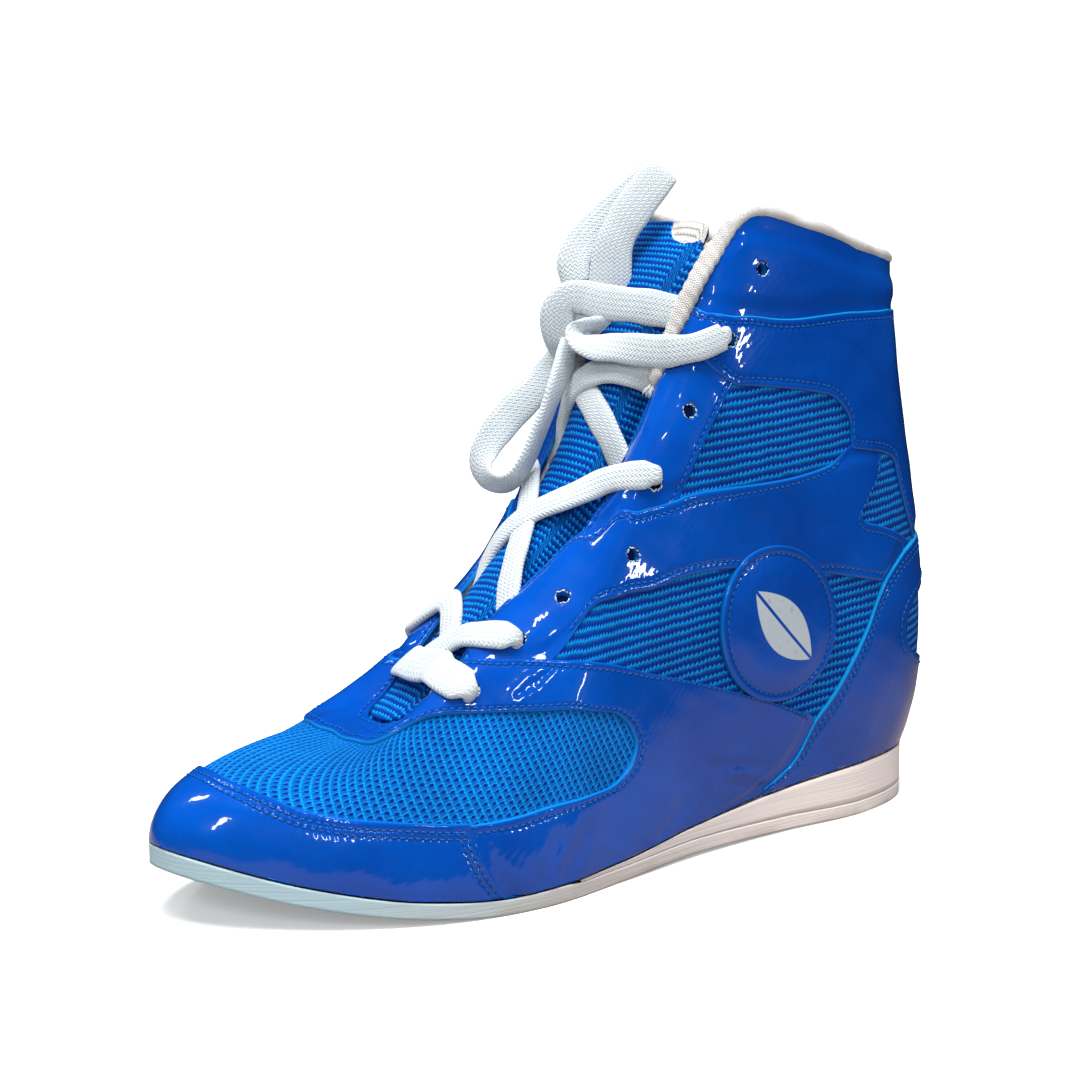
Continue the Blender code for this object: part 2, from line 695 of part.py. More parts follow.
# Panels sewn on the upper
toe_cap = panel("toe_cap", mirrored(TOE_CAP), 2, 3)
vamp_band = panel("vamp_band", mirrored(VAMP_BAND), 2, 2)
wave_lateral = panel("eyestay_wave_lateral", EYESTAY_WAVE, 2, 3)
tab_lateral = panel("eyestay_tab_lateral", EYESTAY_TAB, 2, 2)
across_side = np.array([360.0, 0.0, 360.0, 0.0]) - EYESTAY_WAVE * np.array([1.0, -1.0, 1.0, -1.0])
wave_medial = panel("eyestay_wave_medial", across_side, 2, 3)
across_side = np.array([360.0, 0.0, 360.0, 0.0]) - EYESTAY_TAB * np.array([1.0, -1.0, 1.0, -1.0])
tab_medial = panel("eyestay_tab_medial", across_side, 2, 2)
ankle_band = panel("ankle_band", mirrored_back(ANKLE_BAND), 2, 2)
cuff_top = panel("cuff_top", mirrored_back(CUFF_TOP), 2, 2)
heel_counter = panel("heel_counter", mirrored_back(HEEL_COUNTER), 2, 4)

# Badge: bare oval patch on the lateral mesh window
turn = np.radians(np.linspace(172, 8, 15))
badge_angle = BADGE_MIDDLE[0] + BADGE_HALF[0] * np.cos(turn)
badge_middle = BADGE_MIDDLE[1] + BADGE_SLOPE * (badge_angle - BADGE_MIDDLE[0])
badge_half = BADGE_HALF[1] * np.sin(turn)
badge_rows = np.stack([badge_angle, badge_middle - badge_half, badge_angle, badge_middle + badge_half], axis=1)
panel("badge", badge_rows, 1, 4, FIT_GAP + 0.1, FIT_GAP + 0.1 + BADGE_THICK)

# Eyelet holes, punched through the panels and the upper on both sides
bores = bmesh.new()
for ring_angle, ring_height in EYELETS:
    for side_angle in (ring_angle, 360 - ring_angle):
        ends = upper_point([side_angle, side_angle], [ring_height, ring_height], [-MESH_DEPTH - WALL - 1.5, 1.5])
        axis = unit(ends[1] - ends[0])
        first = unit(np.cross(axis, (0.0, 0.0, 1.0)))
        second = np.cross(axis, first)
        spin = np.arange(EYELET_SIDES) * 2 * np.pi / EYELET_SIDES
        circle = (first * np.cos(spin)[:, None] + second * np.sin(spin)[:, None]) * EYELET / 2
        low = [bores.verts.new(ends[0] + point) for point in circle]
        high = [bores.verts.new(ends[1] + point) for point in circle]
        for k in range(EYELET_SIDES):
            after = (k + 1) % EYELET_SIDES
            bores.faces.new((low[k], low[after], high[after], high[k]))
        bores.faces.new(low[::-1])
        bores.faces.new(high)
cutter = finish("eyelet_bores", bores, PATENT, 0.5)
cutter.hide_render = True
cutter.display_type = "WIRE"
for target in (upper, vamp_band, wave_lateral, wave_medial, tab_lateral, tab_medial, ankle_band, cuff_top):
    pierce(target, cutter)

# Collar binding: rolled edge of the lining round the collar
binding_angle = np.linspace(BINDING_FRONT, -BINDING_FRONT, 45)
binding_line = upper_point(binding_angle, np.ones(45), np.full(45, -MESH_DEPTH - WALL / 2))
binding_along = unit(np.gradient(binding_line, axis=0))
binding_out = unit(np.cross(binding_along, (0.0, 0.0, 1.0)))
binding_up = np.cross(binding_out, binding_along)
spin = np.arange(6) * np.pi / 3 + np.pi / 6
binding_rings = (
    binding_line[:, None]
    + (binding_out[:, None] * np.cos(spin)[:, None] + binding_up[:, None] * np.sin(spin)[:, None]) * BINDING / 2
)
loft("collar_binding", binding_rings, WHITE_CLOTH, 0.9)

# Tongue: padded strip behind the throat, its sides under the eyestays and its top free
tongue_across = np.array([-TONGUE_SPREAD, -1.1, -0.95, -0.7, -0.35, 0.0, 0.35, 0.7, 0.95, 1.1, TONGUE_SPREAD])
tongue_angle, tongue_place = np.meshgrid(TONGUE_STATIONS, tongue_across, indexing="ij")
tongue_lift = -TONGUE_DROP * np.minimum(np.abs(tongue_place), 1.0) ** 4
tongue_outer = instep(tongue_angle, tongue_place, tongue_lift)[0]
tongue_inner = instep(tongue_angle, tongue_place, tongue_lift - TONGUE_THICK)[0]
shell("tongue", tongue_outer, tongue_inner, False, MESH_CLOTH, 0.85)

# Lace: three crossings and the top bar lie on the instep
first_bar = strap("lace_crossing_lower", STRAP_FIRST, 17)
join(first_bar, strap("lace_second", STRAP_SECOND, 10))
join(first_bar, strap("lace_second_under", STRAP_SECOND_UNDER, 10))
fifth = strap("lace_crossing_middle", STRAP_FIFTH, 13)
join(fifth, strap("lace_fifth_under", STRAP_FIFTH_UNDER, 13))
upper_strap = strap("lace_crossing_upper", STRAP_UPPER, 8)
join(upper_strap, strap("lace_upper_under", STRAP_UPPER_UNDER, 8))
strap("lace_bar_top", STRAP_TOP, 21)
strap("lace_end_tucked", TUCKED_END, 12)

# Bow: knot and two loops
knot = bmesh.new()
bmesh.ops.create_uvsphere(knot, u_segments=KNOT_SIDES, v_segments=6, radius=1.0)
knot_normal = unit(instep(np.array([96.0]), np.array([-0.4]), np.array([0.0]))[1])[0]
knot_side = unit(np.cross((0.0, 0.0, 1.0), knot_normal))
knot_up = np.cross(knot_normal, knot_side)
for vert in knot.verts:
    spread = vert.co.x * KNOT_HALF[0] * knot_side + vert.co.y * KNOT_HALF[1] * knot_up
    vert.co = np.array(KNOT_MIDDLE) + spread + vert.co.z * KNOT_HALF[2] * knot_normal
finish("lace_knot", knot, WHITE_CLOTH, 0.85)
bow_loop("lace_loop_hanging", LOOP_HANGING, 23)
bow_loop("lace_loop_upright", LOOP_UPRIGHT, 23)
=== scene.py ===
from functools import partial

import bmesh
import bpy
import numpy as np
from mathutils import Matrix, Vector


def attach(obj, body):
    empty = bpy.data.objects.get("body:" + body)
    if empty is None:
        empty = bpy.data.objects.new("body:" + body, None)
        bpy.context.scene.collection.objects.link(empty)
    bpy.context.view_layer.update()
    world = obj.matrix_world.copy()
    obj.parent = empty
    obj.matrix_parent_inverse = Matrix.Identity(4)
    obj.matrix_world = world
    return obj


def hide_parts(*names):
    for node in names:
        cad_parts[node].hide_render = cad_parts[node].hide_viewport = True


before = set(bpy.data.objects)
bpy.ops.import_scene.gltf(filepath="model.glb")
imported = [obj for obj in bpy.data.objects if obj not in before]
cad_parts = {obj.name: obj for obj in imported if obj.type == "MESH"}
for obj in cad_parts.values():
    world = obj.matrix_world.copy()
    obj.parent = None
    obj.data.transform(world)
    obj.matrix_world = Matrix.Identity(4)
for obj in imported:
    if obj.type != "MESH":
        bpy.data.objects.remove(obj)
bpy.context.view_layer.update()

# Studio: a wide pale floor under soft light from above, with a few small lamps that put short glints
# on the patent. The camera stands in front of the outer side, at about the height of the collar.
CAMERA_PLACE = (0.44059, 0.55284, 0.20132)
CAMERA_TURN = 37.614
CAMERA_FALL = 8.4
LENS, SENSOR = 76.67, 36.0
FLOOR_COLOUR = (0.86, 0.86, 0.86, 1.0)
# Painted light in the floor: the darker colour that bounce light sees is painted shade on the shoe's lower sides,
# and the brown colour seen in reflections is a painted reflection
FLOOR_BOUNCE_SHADE = (0.30, 0.29, 0.28, 1.0)
FLOOR_PAINTED_REFLECTION = (0.26, 0.20, 0.17, 1.0)
FLOOR_PAINTED_REFLECTION_FAR = (0.01, 0.015, 0.025, 1.0)


def add(tree, kind, sockets=None, **settings):
    """A shader node with its settings; sockets maps input names to values or to other outputs."""
    made = tree.nodes.new("ShaderNode" + kind)
    for key, value in settings.items():
        setattr(made, key, value)
    for key, value in (sockets or {}).items():
        if isinstance(value, bpy.types.NodeSocket):
            tree.links.new(value, made.inputs[key])
        else:
            made.inputs[key].default_value = value
    return made


def start_material(name):
    """A material with its node tree and its principled shader."""
    made = bpy.data.materials.new(name)
    made.use_nodes = True
    tree = made.node_tree
    return made, tree, tree.nodes["Principled BSDF"]


def wire(shader, key, output):
    """Links an output to a socket of the shader."""
    shader.id_data.links.new(output, shader.inputs[key])


def calc(tree, operation, first, second=0.0, third=0.0):
    return add(tree, "Math", {0: first, 1: second, 2: third}, operation=operation).outputs[0]


def ramp(tree, value, low, high, start=0.0, end=1.0, kind="SMOOTHSTEP"):
    """The value from low to high turned into start to end."""
    sockets = {0: value, 1: low, 2: high, 3: start, 4: end}
    return add(tree, "MapRange", sockets, interpolation_type=kind).outputs[0]


def mix_colour(tree, share, first, second, kind="MIX"):
    sockets = {0: share, 6: first, 7: second}
    return add(tree, "Mix", sockets, data_type="RGBA", blend_type=kind).outputs[2]


def new_object(name, data):
    made = bpy.data.objects.new(name, data)
    bpy.context.scene.collection.objects.link(made)
    return made


lens = bpy.data.cameras.new("camera")
lens.lens = LENS
lens.sensor_width = SENSOR
camera = new_object("camera", lens)
camera.location = CAMERA_PLACE
turn, fall = np.radians(CAMERA_TURN), np.radians(CAMERA_FALL)
ahead = Vector((-np.sin(turn) * np.cos(fall), -np.cos(turn) * np.cos(fall), -np.sin(fall)))
camera.rotation_euler = ahead.to_track_quat("-Z", "Y").to_euler()
bpy.context.scene.camera = camera
bpy.context.scene.view_settings.view_transform = "Standard"

floor_material, tree, shader = start_material("studio_floor")
rays = add(tree, "LightPath").outputs
place = add(tree, "TexCoord").outputs["Object"]
reach = add(tree, "VectorMath", {0: place}, operation="LENGTH").outputs["Value"]
# Bounce light sees a darker floor, which is painted shade. Reflections see brown near the shoe fading to near
# black, which is a painted reflection. To the camera the floor glows, more strongly further from the shoe
tint = mix_colour(tree, rays["Is Diffuse Ray"], FLOOR_COLOUR, FLOOR_BOUNCE_SHADE)
mirrored = mix_colour(tree, ramp(tree, reach, 0.20, 0.36, kind="LINEAR"), FLOOR_PAINTED_REFLECTION, FLOOR_PAINTED_REFLECTION_FAR)
wire(shader, "Base Color", mix_colour(tree, rays["Is Glossy Ray"], tint, mirrored))
shader.inputs["Roughness"].default_value = 0.9
shader.inputs["Specular IOR Level"].default_value = 0.1
shader.inputs["Emission Color"].default_value = (1.0, 1.0, 1.0, 1.0)
whiter = ramp(tree, reach, 0.16, 0.50, 0.30, 1.0, "LINEAR")
wire(shader, "Emission Strength", calc(tree, "MULTIPLY", rays["Is Camera Ray"], whiter))
floor_mesh = bpy.data.meshes.new("studio_floor")
bm = bmesh.new()
bmesh.ops.create_grid(bm, x_segments=8, y_segments=8, size=9.0)
bm.to_mesh(floor_mesh)
bm.free()
floor_mesh.materials.append(floor_material)
new_object("studio_floor", floor_mesh)

world = bpy.data.worlds.new("studio")
bpy.context.scene.world = world
world.use_nodes = True
tree = world.node_tree
rays = add(tree, "LightPath")
seen = add(tree, "Background", {"Color": (1.0, 1.0, 1.0, 1.0), "Strength": 1.05})
lit = add(tree, "Background", {"Color": (0.93, 0.97, 1.0, 1.0), "Strength": 0.31})
mirrored_room = add(tree, "Background", {"Color": (0.30, 0.60, 1.0, 1.0), "Strength": 0.04})
room = {0: rays.outputs["Is Glossy Ray"], 1: lit.outputs[0], 2: mirrored_room.outputs[0]}
soft = add(tree, "MixShader", room)
both = add(tree, "MixShader", {0: rays.outputs["Is Camera Ray"], 1: soft.outputs[0], 2: seen.outputs[0]})
tree.links.new(both.outputs[0], tree.nodes["World Output"].inputs["Surface"])

# Lamps: name, place, point it faces, width, length, power, 1 where the patent mirrors it
LAMPS = [
    ("lamp_above", (0.20, 0.15, 1.60), (0.0, 0.0, 0.08), 1.2, 1.2, 48.0, 0),
    ("lamp_front", (1.00, 1.10, 0.80), (0.02, 0.0, 0.08), 0.5, 0.5, 3.0, 0),
    ("strip_toe", (0.518, -0.650, 0.968), (0.134, -0.002, 0.03), 0.10, 0.22, 1.7, 1),
    ("strip_toe_side", (1.057, 0.343, 0.711), (0.133, 0.007, 0.03), 0.10, 0.25, 1.9, 1),
    ("strip_cap", (0.621, 0.988, 0.531), (0.105, 0.028, 0.03), 0.05, 0.30, 1.2, 1),
    ("strip_band", (-0.054, 0.946, 0.846), (0.042, 0.034, 0.07), 0.06, 0.16, 0.9, 1),
    ("strip_stay", (-0.557, 1.078, 0.294), (0.007, 0.034, 0.09), 0.06, 0.16, 0.9, 1),
    ("strip_ring", (0.147, 0.386, 1.211), (0.051, 0.026, 0.07), 0.05, 0.20, 1.0, 1),
]
for name, place, facing, width, length, power, mirrored in LAMPS:
    glow = bpy.data.lights.new(name, "AREA")
    glow.shape = "RECTANGLE"
    glow.size = width
    glow.size_y = length
    glow.energy = power
    lamp = new_object(name, glow)
    lamp.location = place
    lamp.visible_glossy = bool(mirrored)
    lamp.rotation_euler = (Vector(facing) - Vector(place)).to_track_quat("-Z", "Y").to_euler()

# Outsole: one thin sheet of white rubber cut to the outline of the foot, flat under heel and ball and
# turned up at the toe. Its edge is milled, which leaves fine level lines. It is glued under the upper.
MIDDLE = np.array([138.7, 2.6, 0.0])
SOLE_LENGTH = 282.0
SOLE_ROUND = 0.4
# The rubber is one white. Its tones along the length are painted light and shade: lighter at the heel and darker
# at the ball, with a painted blue reflection of the upper at the toe
RUBBER_TOE_REFLECTION = (0.42, 0.57, 0.63, 1.0)
RUBBER_BALL_TONE = (0.58, 0.53, 0.51, 1.0)
RUBBER_HEEL_TONE = (0.95, 0.84, 0.80, 1.0)
RUBBER_DIRT = (0.40, 0.31, 0.22, 1.0)

# Plan: share of the length from the heel, lateral and medial half width, middle line
PLAN = np.array([
    (0.00, 0.0, 0.0, 0.0), (0.05, 22.5, 22.5, 0.0), (0.14, 32.0, 32.0, 0.0), (0.28, 33.5, 31.0, 0.0),
    (0.42, 37.5, 28.0, 0.0), (0.55, 45.0, 32.0, -0.3), (0.67, 51.5, 40.0, -1.2), (0.76, 50.0, 42.5, -2.6),
    (0.86, 40.3, 37.0, -4.6), (0.94, 25.9, 24.5, -6.2), (1.00, 0.0, 0.0, -7.0),
])

# Side view: share of the length, height of the underside, outsole and wedge thickness
FLOOR = np.array([
    (0.00, 1.6, 3.0, 13.1), (0.04, 0.0, 4.4, 13.1), (0.14, 0.0, 4.4, 12.7), (0.28, 0.6, 4.4, 9.0),
    (0.42, 1.2, 4.4, 4.3), (0.55, 0.3, 4.4, 1.4), (0.61, 0.0, 4.4, 0.9), (0.64, 0.0, 5.0, 0.0),
    (0.70, 0.0, 4.7, 0.0), (0.80, 2.0, 4.8, 0.0), (0.90, 7.0, 5.4, 0.0), (1.00, 15.5, 6.0, 0.0),
])


def hermite(knots, values, slopes, at):
    """Cubic through the rows with the given slopes."""
    cell = np.clip(np.searchsorted(knots, at, side="right") - 1, 0, len(knots) - 2)
    width = (knots[cell + 1] - knots[cell])[..., None]
    part = (at - knots[cell])[..., None] / width
    low, high = values[cell], values[cell + 1]
    return (
        (1 + 2 * part) * (1 - part) ** 2 * low
        + part * (1 - part) ** 2 * width * slopes[cell]
        + part ** 2 * (3 - 2 * part) * high
        + part ** 2 * (part - 1) * width * slopes[cell + 1]
    )


def smooth(knots, values, at):
    """Smooth curve through the rows."""
    return hermite(knots, values, np.gradient(values, knots, axis=0), np.asarray(at, float))


def level(knots, values, at):
    """Smooth curve through the rows that never passes beyond them."""
    steps = np.diff(values, axis=0) / np.diff(knots)[:, None]
    before, after = steps[:-1], steps[1:]
    same_way = before * after > 0
    slopes = np.zeros_like(values)
    slopes[1:-1] = np.where(same_way, 2 * before * after / np.where(same_way, before + after, 1.0), 0.0)
    slopes[0] = steps[0]
    slopes[-1] = steps[-1]
    return hermite(knots, values, slopes, np.asarray(at, float))


def unit(vectors):
    return vectors / np.linalg.norm(vectors, axis=-1, keepdims=True)


def ease(low, high, at):
    """Soft step from 0 at low to 1 at high."""
    part = np.clip((np.asarray(at, float) - low) / (high - low), 0, 1)
    return part * part * (3 - 2 * part)


def run_length(line, axis=0):
    """Length along a line of points, or along one way of a grid, up to each of them."""
    first = np.take(line, [0], axis=axis)
    return np.cumsum(np.linalg.norm(np.diff(line, axis=axis, prepend=first), axis=-1), axis=axis)


def joined(*parts):
    """Coordinates joined from parts that spread over one grid."""
    return np.stack(np.broadcast_arrays(*parts), axis=-1)


def half_widths(share):
    squares = np.concatenate([PLAN[:, 1:3] ** 2, PLAN[:, 3:]], axis=1)
    row = smooth(PLAN[:, 0], squares, share)
    return np.sqrt(np.maximum(row[..., 0], 0)), np.sqrt(np.maximum(row[..., 1], 0)), row[..., 2]


def sole_heights(share):
    """Underside, outsole top and wedge top."""
    row = level(FLOOR[:, 0], FLOOR[:, 1:], np.clip(share, 0, 1))
    under = row[..., 0]
    outsole_top = under + row[..., 1]
    return under, outsole_top, outsole_top + row[..., 2]


def share_of(angle):
    return (1 - np.cos(np.radians(angle))) / 2


def outline(angle):
    """Edge of the sole at a ring angle: 0 at the heel, 90 at the lateral waist, 180 at the toe."""
    share = share_of(angle)
    lateral, medial, middle = half_widths(share)
    y = middle + np.where(np.mod(angle, 360) <= 180, lateral, -medial)
    return np.stack([share * SOLE_LENGTH, y, np.zeros_like(share)], axis=-1)


def sheet(name, points, uvs=None, faces=None, values=None):
    """Closed mesh through a grid of points in millimetres; rows that meet are merged and open ends filled."""
    along_count, across_count = points.shape[:2]
    bm = bmesh.new()
    bmesh.ops.create_grid(bm, x_segments=across_count - 1, y_segments=along_count - 1, size=1.0)
    mesh = bpy.data.meshes.new(name)
    bm.to_mesh(mesh)
    bm.clear()
    mesh.vertices.foreach_set("co", ((points - MIDDLE) / 1000).ravel())
    if uvs is not None:
        corners = np.zeros(len(mesh.loops), np.int32)
        mesh.loops.foreach_get("vertex_index", corners)
        mesh.uv_layers.new(name="lay").data.foreach_set("uv", uvs.reshape(-1, 2)[corners].ravel())
    if faces is not None:
        mesh.polygons.foreach_set("material_index", np.tile(faces, along_count - 1))
    for key, value in (values or {}).items():
        mesh.attributes.new(key, "FLOAT", "POINT").data.foreach_set("value", value.ravel())
    bm.from_mesh(mesh)
    bmesh.ops.remove_doubles(bm, verts=bm.verts[:], dist=1e-6)
    bmesh.ops.holes_fill(bm, edges=bm.edges[:], sides=0)
    bmesh.ops.recalc_face_normals(bm, faces=bm.faces[:])
    if bm.calc_volume(signed=True) < 0:
        bmesh.ops.reverse_faces(bm, faces=bm.faces[:])
    bm.to_mesh(mesh)
    bm.free()
    return mesh


def place_piece(mesh, materials, slot, *nodes):
    """An object of the shoe that stands for the named solids."""
    made = new_object(mesh.name, mesh)
    for finish in materials:
        mesh.materials.append(finish)
    mesh.polygons.foreach_set("use_smooth", np.ones(len(mesh.polygons), bool))
    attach(made, "root")
    if nodes:
        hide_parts(*nodes)
    return made


def sole_slab(name, angles, low, high):
    """Slab of the sole between two height functions of the share, with rounded rims."""
    edge = outline(angles)
    along = unit(outline(angles + 0.4) - outline(angles - 0.4))
    inward = np.stack([along[:, 1], -along[:, 0], np.zeros_like(angles)], axis=-1)
    share = share_of(angles)
    middle = np.stack([share * SOLE_LENGTH, half_widths(share)[2], np.zeros_like(share)], axis=-1)
    corner = SOLE_ROUND * (1 - np.cos(np.radians([90, 60, 30, 0])))
    profile = [(0, part, 0.0, 0.0) for part in (0.0, 0.25, 0.5, 0.75, 0.9)]
    profile += [(0, 1.0, SOLE_ROUND - step, rise) for step, rise in zip(corner[::-1], corner)]
    profile += [(part, 1.0, 0.0, 0.0) for part in np.linspace(0.15, 0.85, 6)]
    profile += [(1, 1.0, SOLE_ROUND - step, -rise) for step, rise in zip(corner, corner[::-1])]
    profile += [(1, part, 0.0, 0.0) for part in (0.9, 0.75, 0.5, 0.25, 0.0)]
    rows = []
    for part, spread, inset, rise in profile:
        point = middle + (edge + inward * (inset if spread == 1.0 else SOLE_ROUND) - middle) * spread
        at = point[:, 0] / SOLE_LENGTH
        bottom, top = low(at), high(at)
        room = np.minimum(1.0, (top - bottom) / (2.4 * SOLE_ROUND))
        point[:, 2] = bottom + (top - bottom) * part + rise * room
        rows.append(point)
    points = np.stack(rows, axis=1)
    return sheet(name, points, joined(run_length(edge)[:, None], points[..., 2]))


def noise(tree, scale, detail=2.0):
    """Noise over the piece in its own coordinates."""
    place = add(tree, "TexCoord").outputs["Object"]
    return add(tree, "TexNoise", {"Vector": place, "Scale": scale, "Detail": detail}).outputs[0]


def bump(tree, shader, strength, distance, height):
    """Fine relief in the shader's normal."""
    dents = add(tree, "Bump", {"Strength": strength, "Distance": distance, "Height": height}).outputs[0]
    wire(shader, "Normal", dents)
    return dents


rubber, tree, shader = start_material("milled_rubber")
place = add(tree, "TexCoord").outputs["Object"]
axes = add(tree, "SeparateXYZ", {0: place}).outputs
lines = add(tree, "Mapping", {0: place, "Scale": (14.0, 14.0, 1500.0)}).outputs[0]
mill = add(tree, "TexNoise", {"Vector": lines, "Scale": 1.0, "Detail": 3.0}).outputs[0]
mottle = noise(tree, 38.0, 4.0)
# Painted light and shade along the length: heel tone, then ball tone, then a painted blue reflection at the toe
tone = mix_colour(tree, ramp(tree, axes[0], -0.06, 0.03, kind="LINEAR"), RUBBER_HEEL_TONE, RUBBER_BALL_TONE)
tone = mix_colour(tree, ramp(tree, axes[0], 0.03, 0.11, kind="LINEAR"), tone, RUBBER_TOE_REFLECTION)
tone = mix_colour(tree, 1.0, tone, ramp(tree, mill, 0.3, 0.7, 0.95, 1.03, "LINEAR"), "MULTIPLY")
near_floor = ramp(tree, axes[2], 0.0042, 0.0004, kind="LINEAR")
dirt = calc(tree, "MULTIPLY", near_floor, ramp(tree, mottle, 0.42, 0.62, kind="LINEAR"))
wire(shader, "Base Color", mix_colour(tree, calc(tree, "MULTIPLY", dirt, 0.55), tone, RUBBER_DIRT))
wire(shader, "Roughness", ramp(tree, mottle, 0.0, 1.0, 0.5, 0.75, "LINEAR"))
bump(tree, shader, 0.5, 0.0004, calc(tree, "MULTIPLY_ADD", noise(tree, 900.0), 0.35, mill))

ring = np.degrees(np.arccos(1 - 2 * np.linspace(0, 1, 181)))
ring = (ring + np.linspace(0, 180, 181)) / 2
ring = np.concatenate([ring, 360 - ring[-2::-1]])
outsole_mesh = sole_slab("outsole_sheet", ring, lambda at: sole_heights(at)[0], lambda at: sole_heights(at)[1])
place_piece(outsole_mesh, [rubber], "outsole_rubber", "outsole")

# Heel wedge: white foam rubber between the outsole and the upper, thickest under the heel and thinning
# out behind the ball. It is glued to the outsole, and the joint shows as a thin line round the heel.
WEDGE_END = 0.615
JOINT = 0.12
wedge_end = np.degrees(np.arccos(1 - 2 * WEDGE_END))
wedge_ring = np.linspace(-wedge_end, wedge_end, 241)
wedge_mesh = sole_slab(
    "heel_wedge_foam", wedge_ring, lambda at: sole_heights(at)[1] + JOINT, lambda at: sole_heights(at)[2])
place_piece(wedge_mesh, [rubber], "wedge_foam", "heel_wedge")

# Insole: a flat footbed of white cloth on thin foam, cut to the inside of the upper. It is laid in loose,
# so nothing fixes it, and little of it shows from outside.
INSOLE_TONES = ((0.55, 0.54, 0.52, 1.0), (0.74, 0.73, 0.71, 1.0))
cloth_white, tree, shader = start_material("plain_white_cloth")
place = add(tree, "TexCoord").outputs["Object"]
bands = {"Vector": place, "Scale": 420.0, "Distortion": 1.5}
woven = calc(tree, "MULTIPLY", *(add(tree, "TexWave", bands, bands_direction=way).outputs[1] for way in "XY"))
wire(shader, "Base Color", mix_colour(tree, woven, *INSOLE_TONES))
shader.inputs["Roughness"].default_value = 0.9
bump(tree, shader, 0.4, 0.0003, woven)
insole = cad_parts["insole"]
insole.data.materials.clear()
insole.data.materials.append(cloth_white)

# Upper: one closed-toe shell of knitted mesh on a white lining, open at the collar and the throat.
# The knit shows in the windows between the patent panels: loops on the vamp, zigzag ribs on the sides.
FIT_GAP = 0.3
CLOTH_LIFT = -1.1
LINING_LIFT = -3.4
KNIT_LIGHT = (0.000, 0.300, 0.860, 1.0)
KNIT_DARK = (0.000, 0.022, 0.230, 1.0)
LINING_WORN = ((0.66, 0.645, 0.63, 1.0), (0.50, 0.475, 0.455, 1.0))
LOOP_CELL = (2.9, 1.85)
RIB_ROW = 2.75
RIB_ZIG = 1.75
RIB_SLOPE = 0.10

# Sections: ring angle, opening edge x y z, rise and flare off the sole, reach below the edge x y z
SECTIONS = np.array([
    (0, 14.0, 0.0, 182.0, 54.0, 15.0, -3.0, 0.0, -60.0),
    (28, 25.0, 25.0, 183.0, 48.0, 17.0, 1.0, 2.0, -61.0),
    (50, 46.0, 33.0, 187.0, 48.0, 10.0, 6.0, 5.0, -62.0),
    (66, 72.0, 35.5, 194.0, 42.0, 7.0, 14.0, 5.0, -65.0),
    (77, 94.5, 32.0, 198.0, 38.0, 5.0, 20.0, 8.0, -62.0),
    (86, 106.0, 27.0, 187.0, 34.0, 3.0, 22.0, 11.0, -50.0),
    (95, 115.0, 22.0, 166.0, 30.0, 2.0, 24.0, 12.0, -38.0),
    (104, 124.0, 19.0, 142.0, 26.0, 1.0, 26.0, 15.0, -30.0),
    (114, 137.0, 17.0, 116.5, 23.0, 1.0, 26.0, 17.0, -22.0),
    (124, 157.0, 15.0, 96.5, 22.0, 1.0, 26.0, 18.0, -14.0),
    (136, 180.0, 13.0, 79.0, 23.5, 1.0, 26.0, 19.0, -9.0),
    (150, 199.5, 10.0, 55.5, 23.0, 1.0, 26.0, 16.0, -3.0),
    (165, 208.0, 5.0, 49.5, 21.5, 0.0, 30.0, 8.0, -1.0),
    (180, 210.0, -2.0, 49.0, 21.5, -1.0, 32.0, -2.0, -1.0),
    (195, 208.0, -8.5, 50.5, 23.0, -1.0, 28.0, -9.0, -2.0),
    (210, 198.5, -11.0, 56.5, 21.5, 0.0, 22.0, -13.5, -7.0),
    (224, 179.0, -12.5, 75.5, 19.0, 0.0, 18.0, -13.0, -16.0),
    (236, 157.0, -14.0, 97.0, 18.0, 0.0, 18.0, -12.0, -25.0),
    (246, 137.5, -16.0, 118.0, 22.0, 0.0, 20.0, -13.0, -32.0),
    (256, 124.0, -18.0, 142.0, 26.0, 1.0, 22.0, -13.0, -37.0),
    (265, 115.0, -22.0, 166.0, 30.0, 2.0, 22.0, -11.0, -42.0),
    (274, 106.0, -27.0, 187.0, 34.0, 3.0, 22.0, -10.0, -52.0),
    (283, 94.5, -32.0, 198.0, 38.0, 5.0, 20.0, -8.0, -62.0),
    (294, 72.0, -35.0, 194.0, 42.0, 7.0, 14.0, -5.0, -65.0),
    (310, 46.0, -32.5, 187.0, 48.0, 10.0, 6.0, -5.0, -62.0),
    (332, 25.0, -25.0, 183.0, 48.0, 16.0, 1.0, -2.0, -61.0),
])

# Eyelet holes of one side, from the toe end up: ring angle and height
EYELETS = np.array([
    (129.5, 0.615), (124.0, 0.700), (117.5, 0.730), (98.0, 0.595),
    (94.0, 0.675), (86.5, 0.730), (78.0, 0.805), (73.5, 0.910),
])
EYELET = 4.6

# Line under the vamp band where the loop knit of the vamp meets the rib knit of the sides: angle, height
KNIT_JOINT = np.array([
    (0, 0.0), (58, 0.02), (64, 0.15), (76, 0.23), (94, 0.32), (104, 0.415), (116, 0.51), (127, 0.60),
    (138, 0.72), (150, 0.88), (180, 0.93),
])


def feather(angle):
    """Line where the upper meets the sole."""
    edge = outline(angle)
    edge[..., 2] = sole_heights(share_of(angle))[2] + FIT_GAP
    return edge


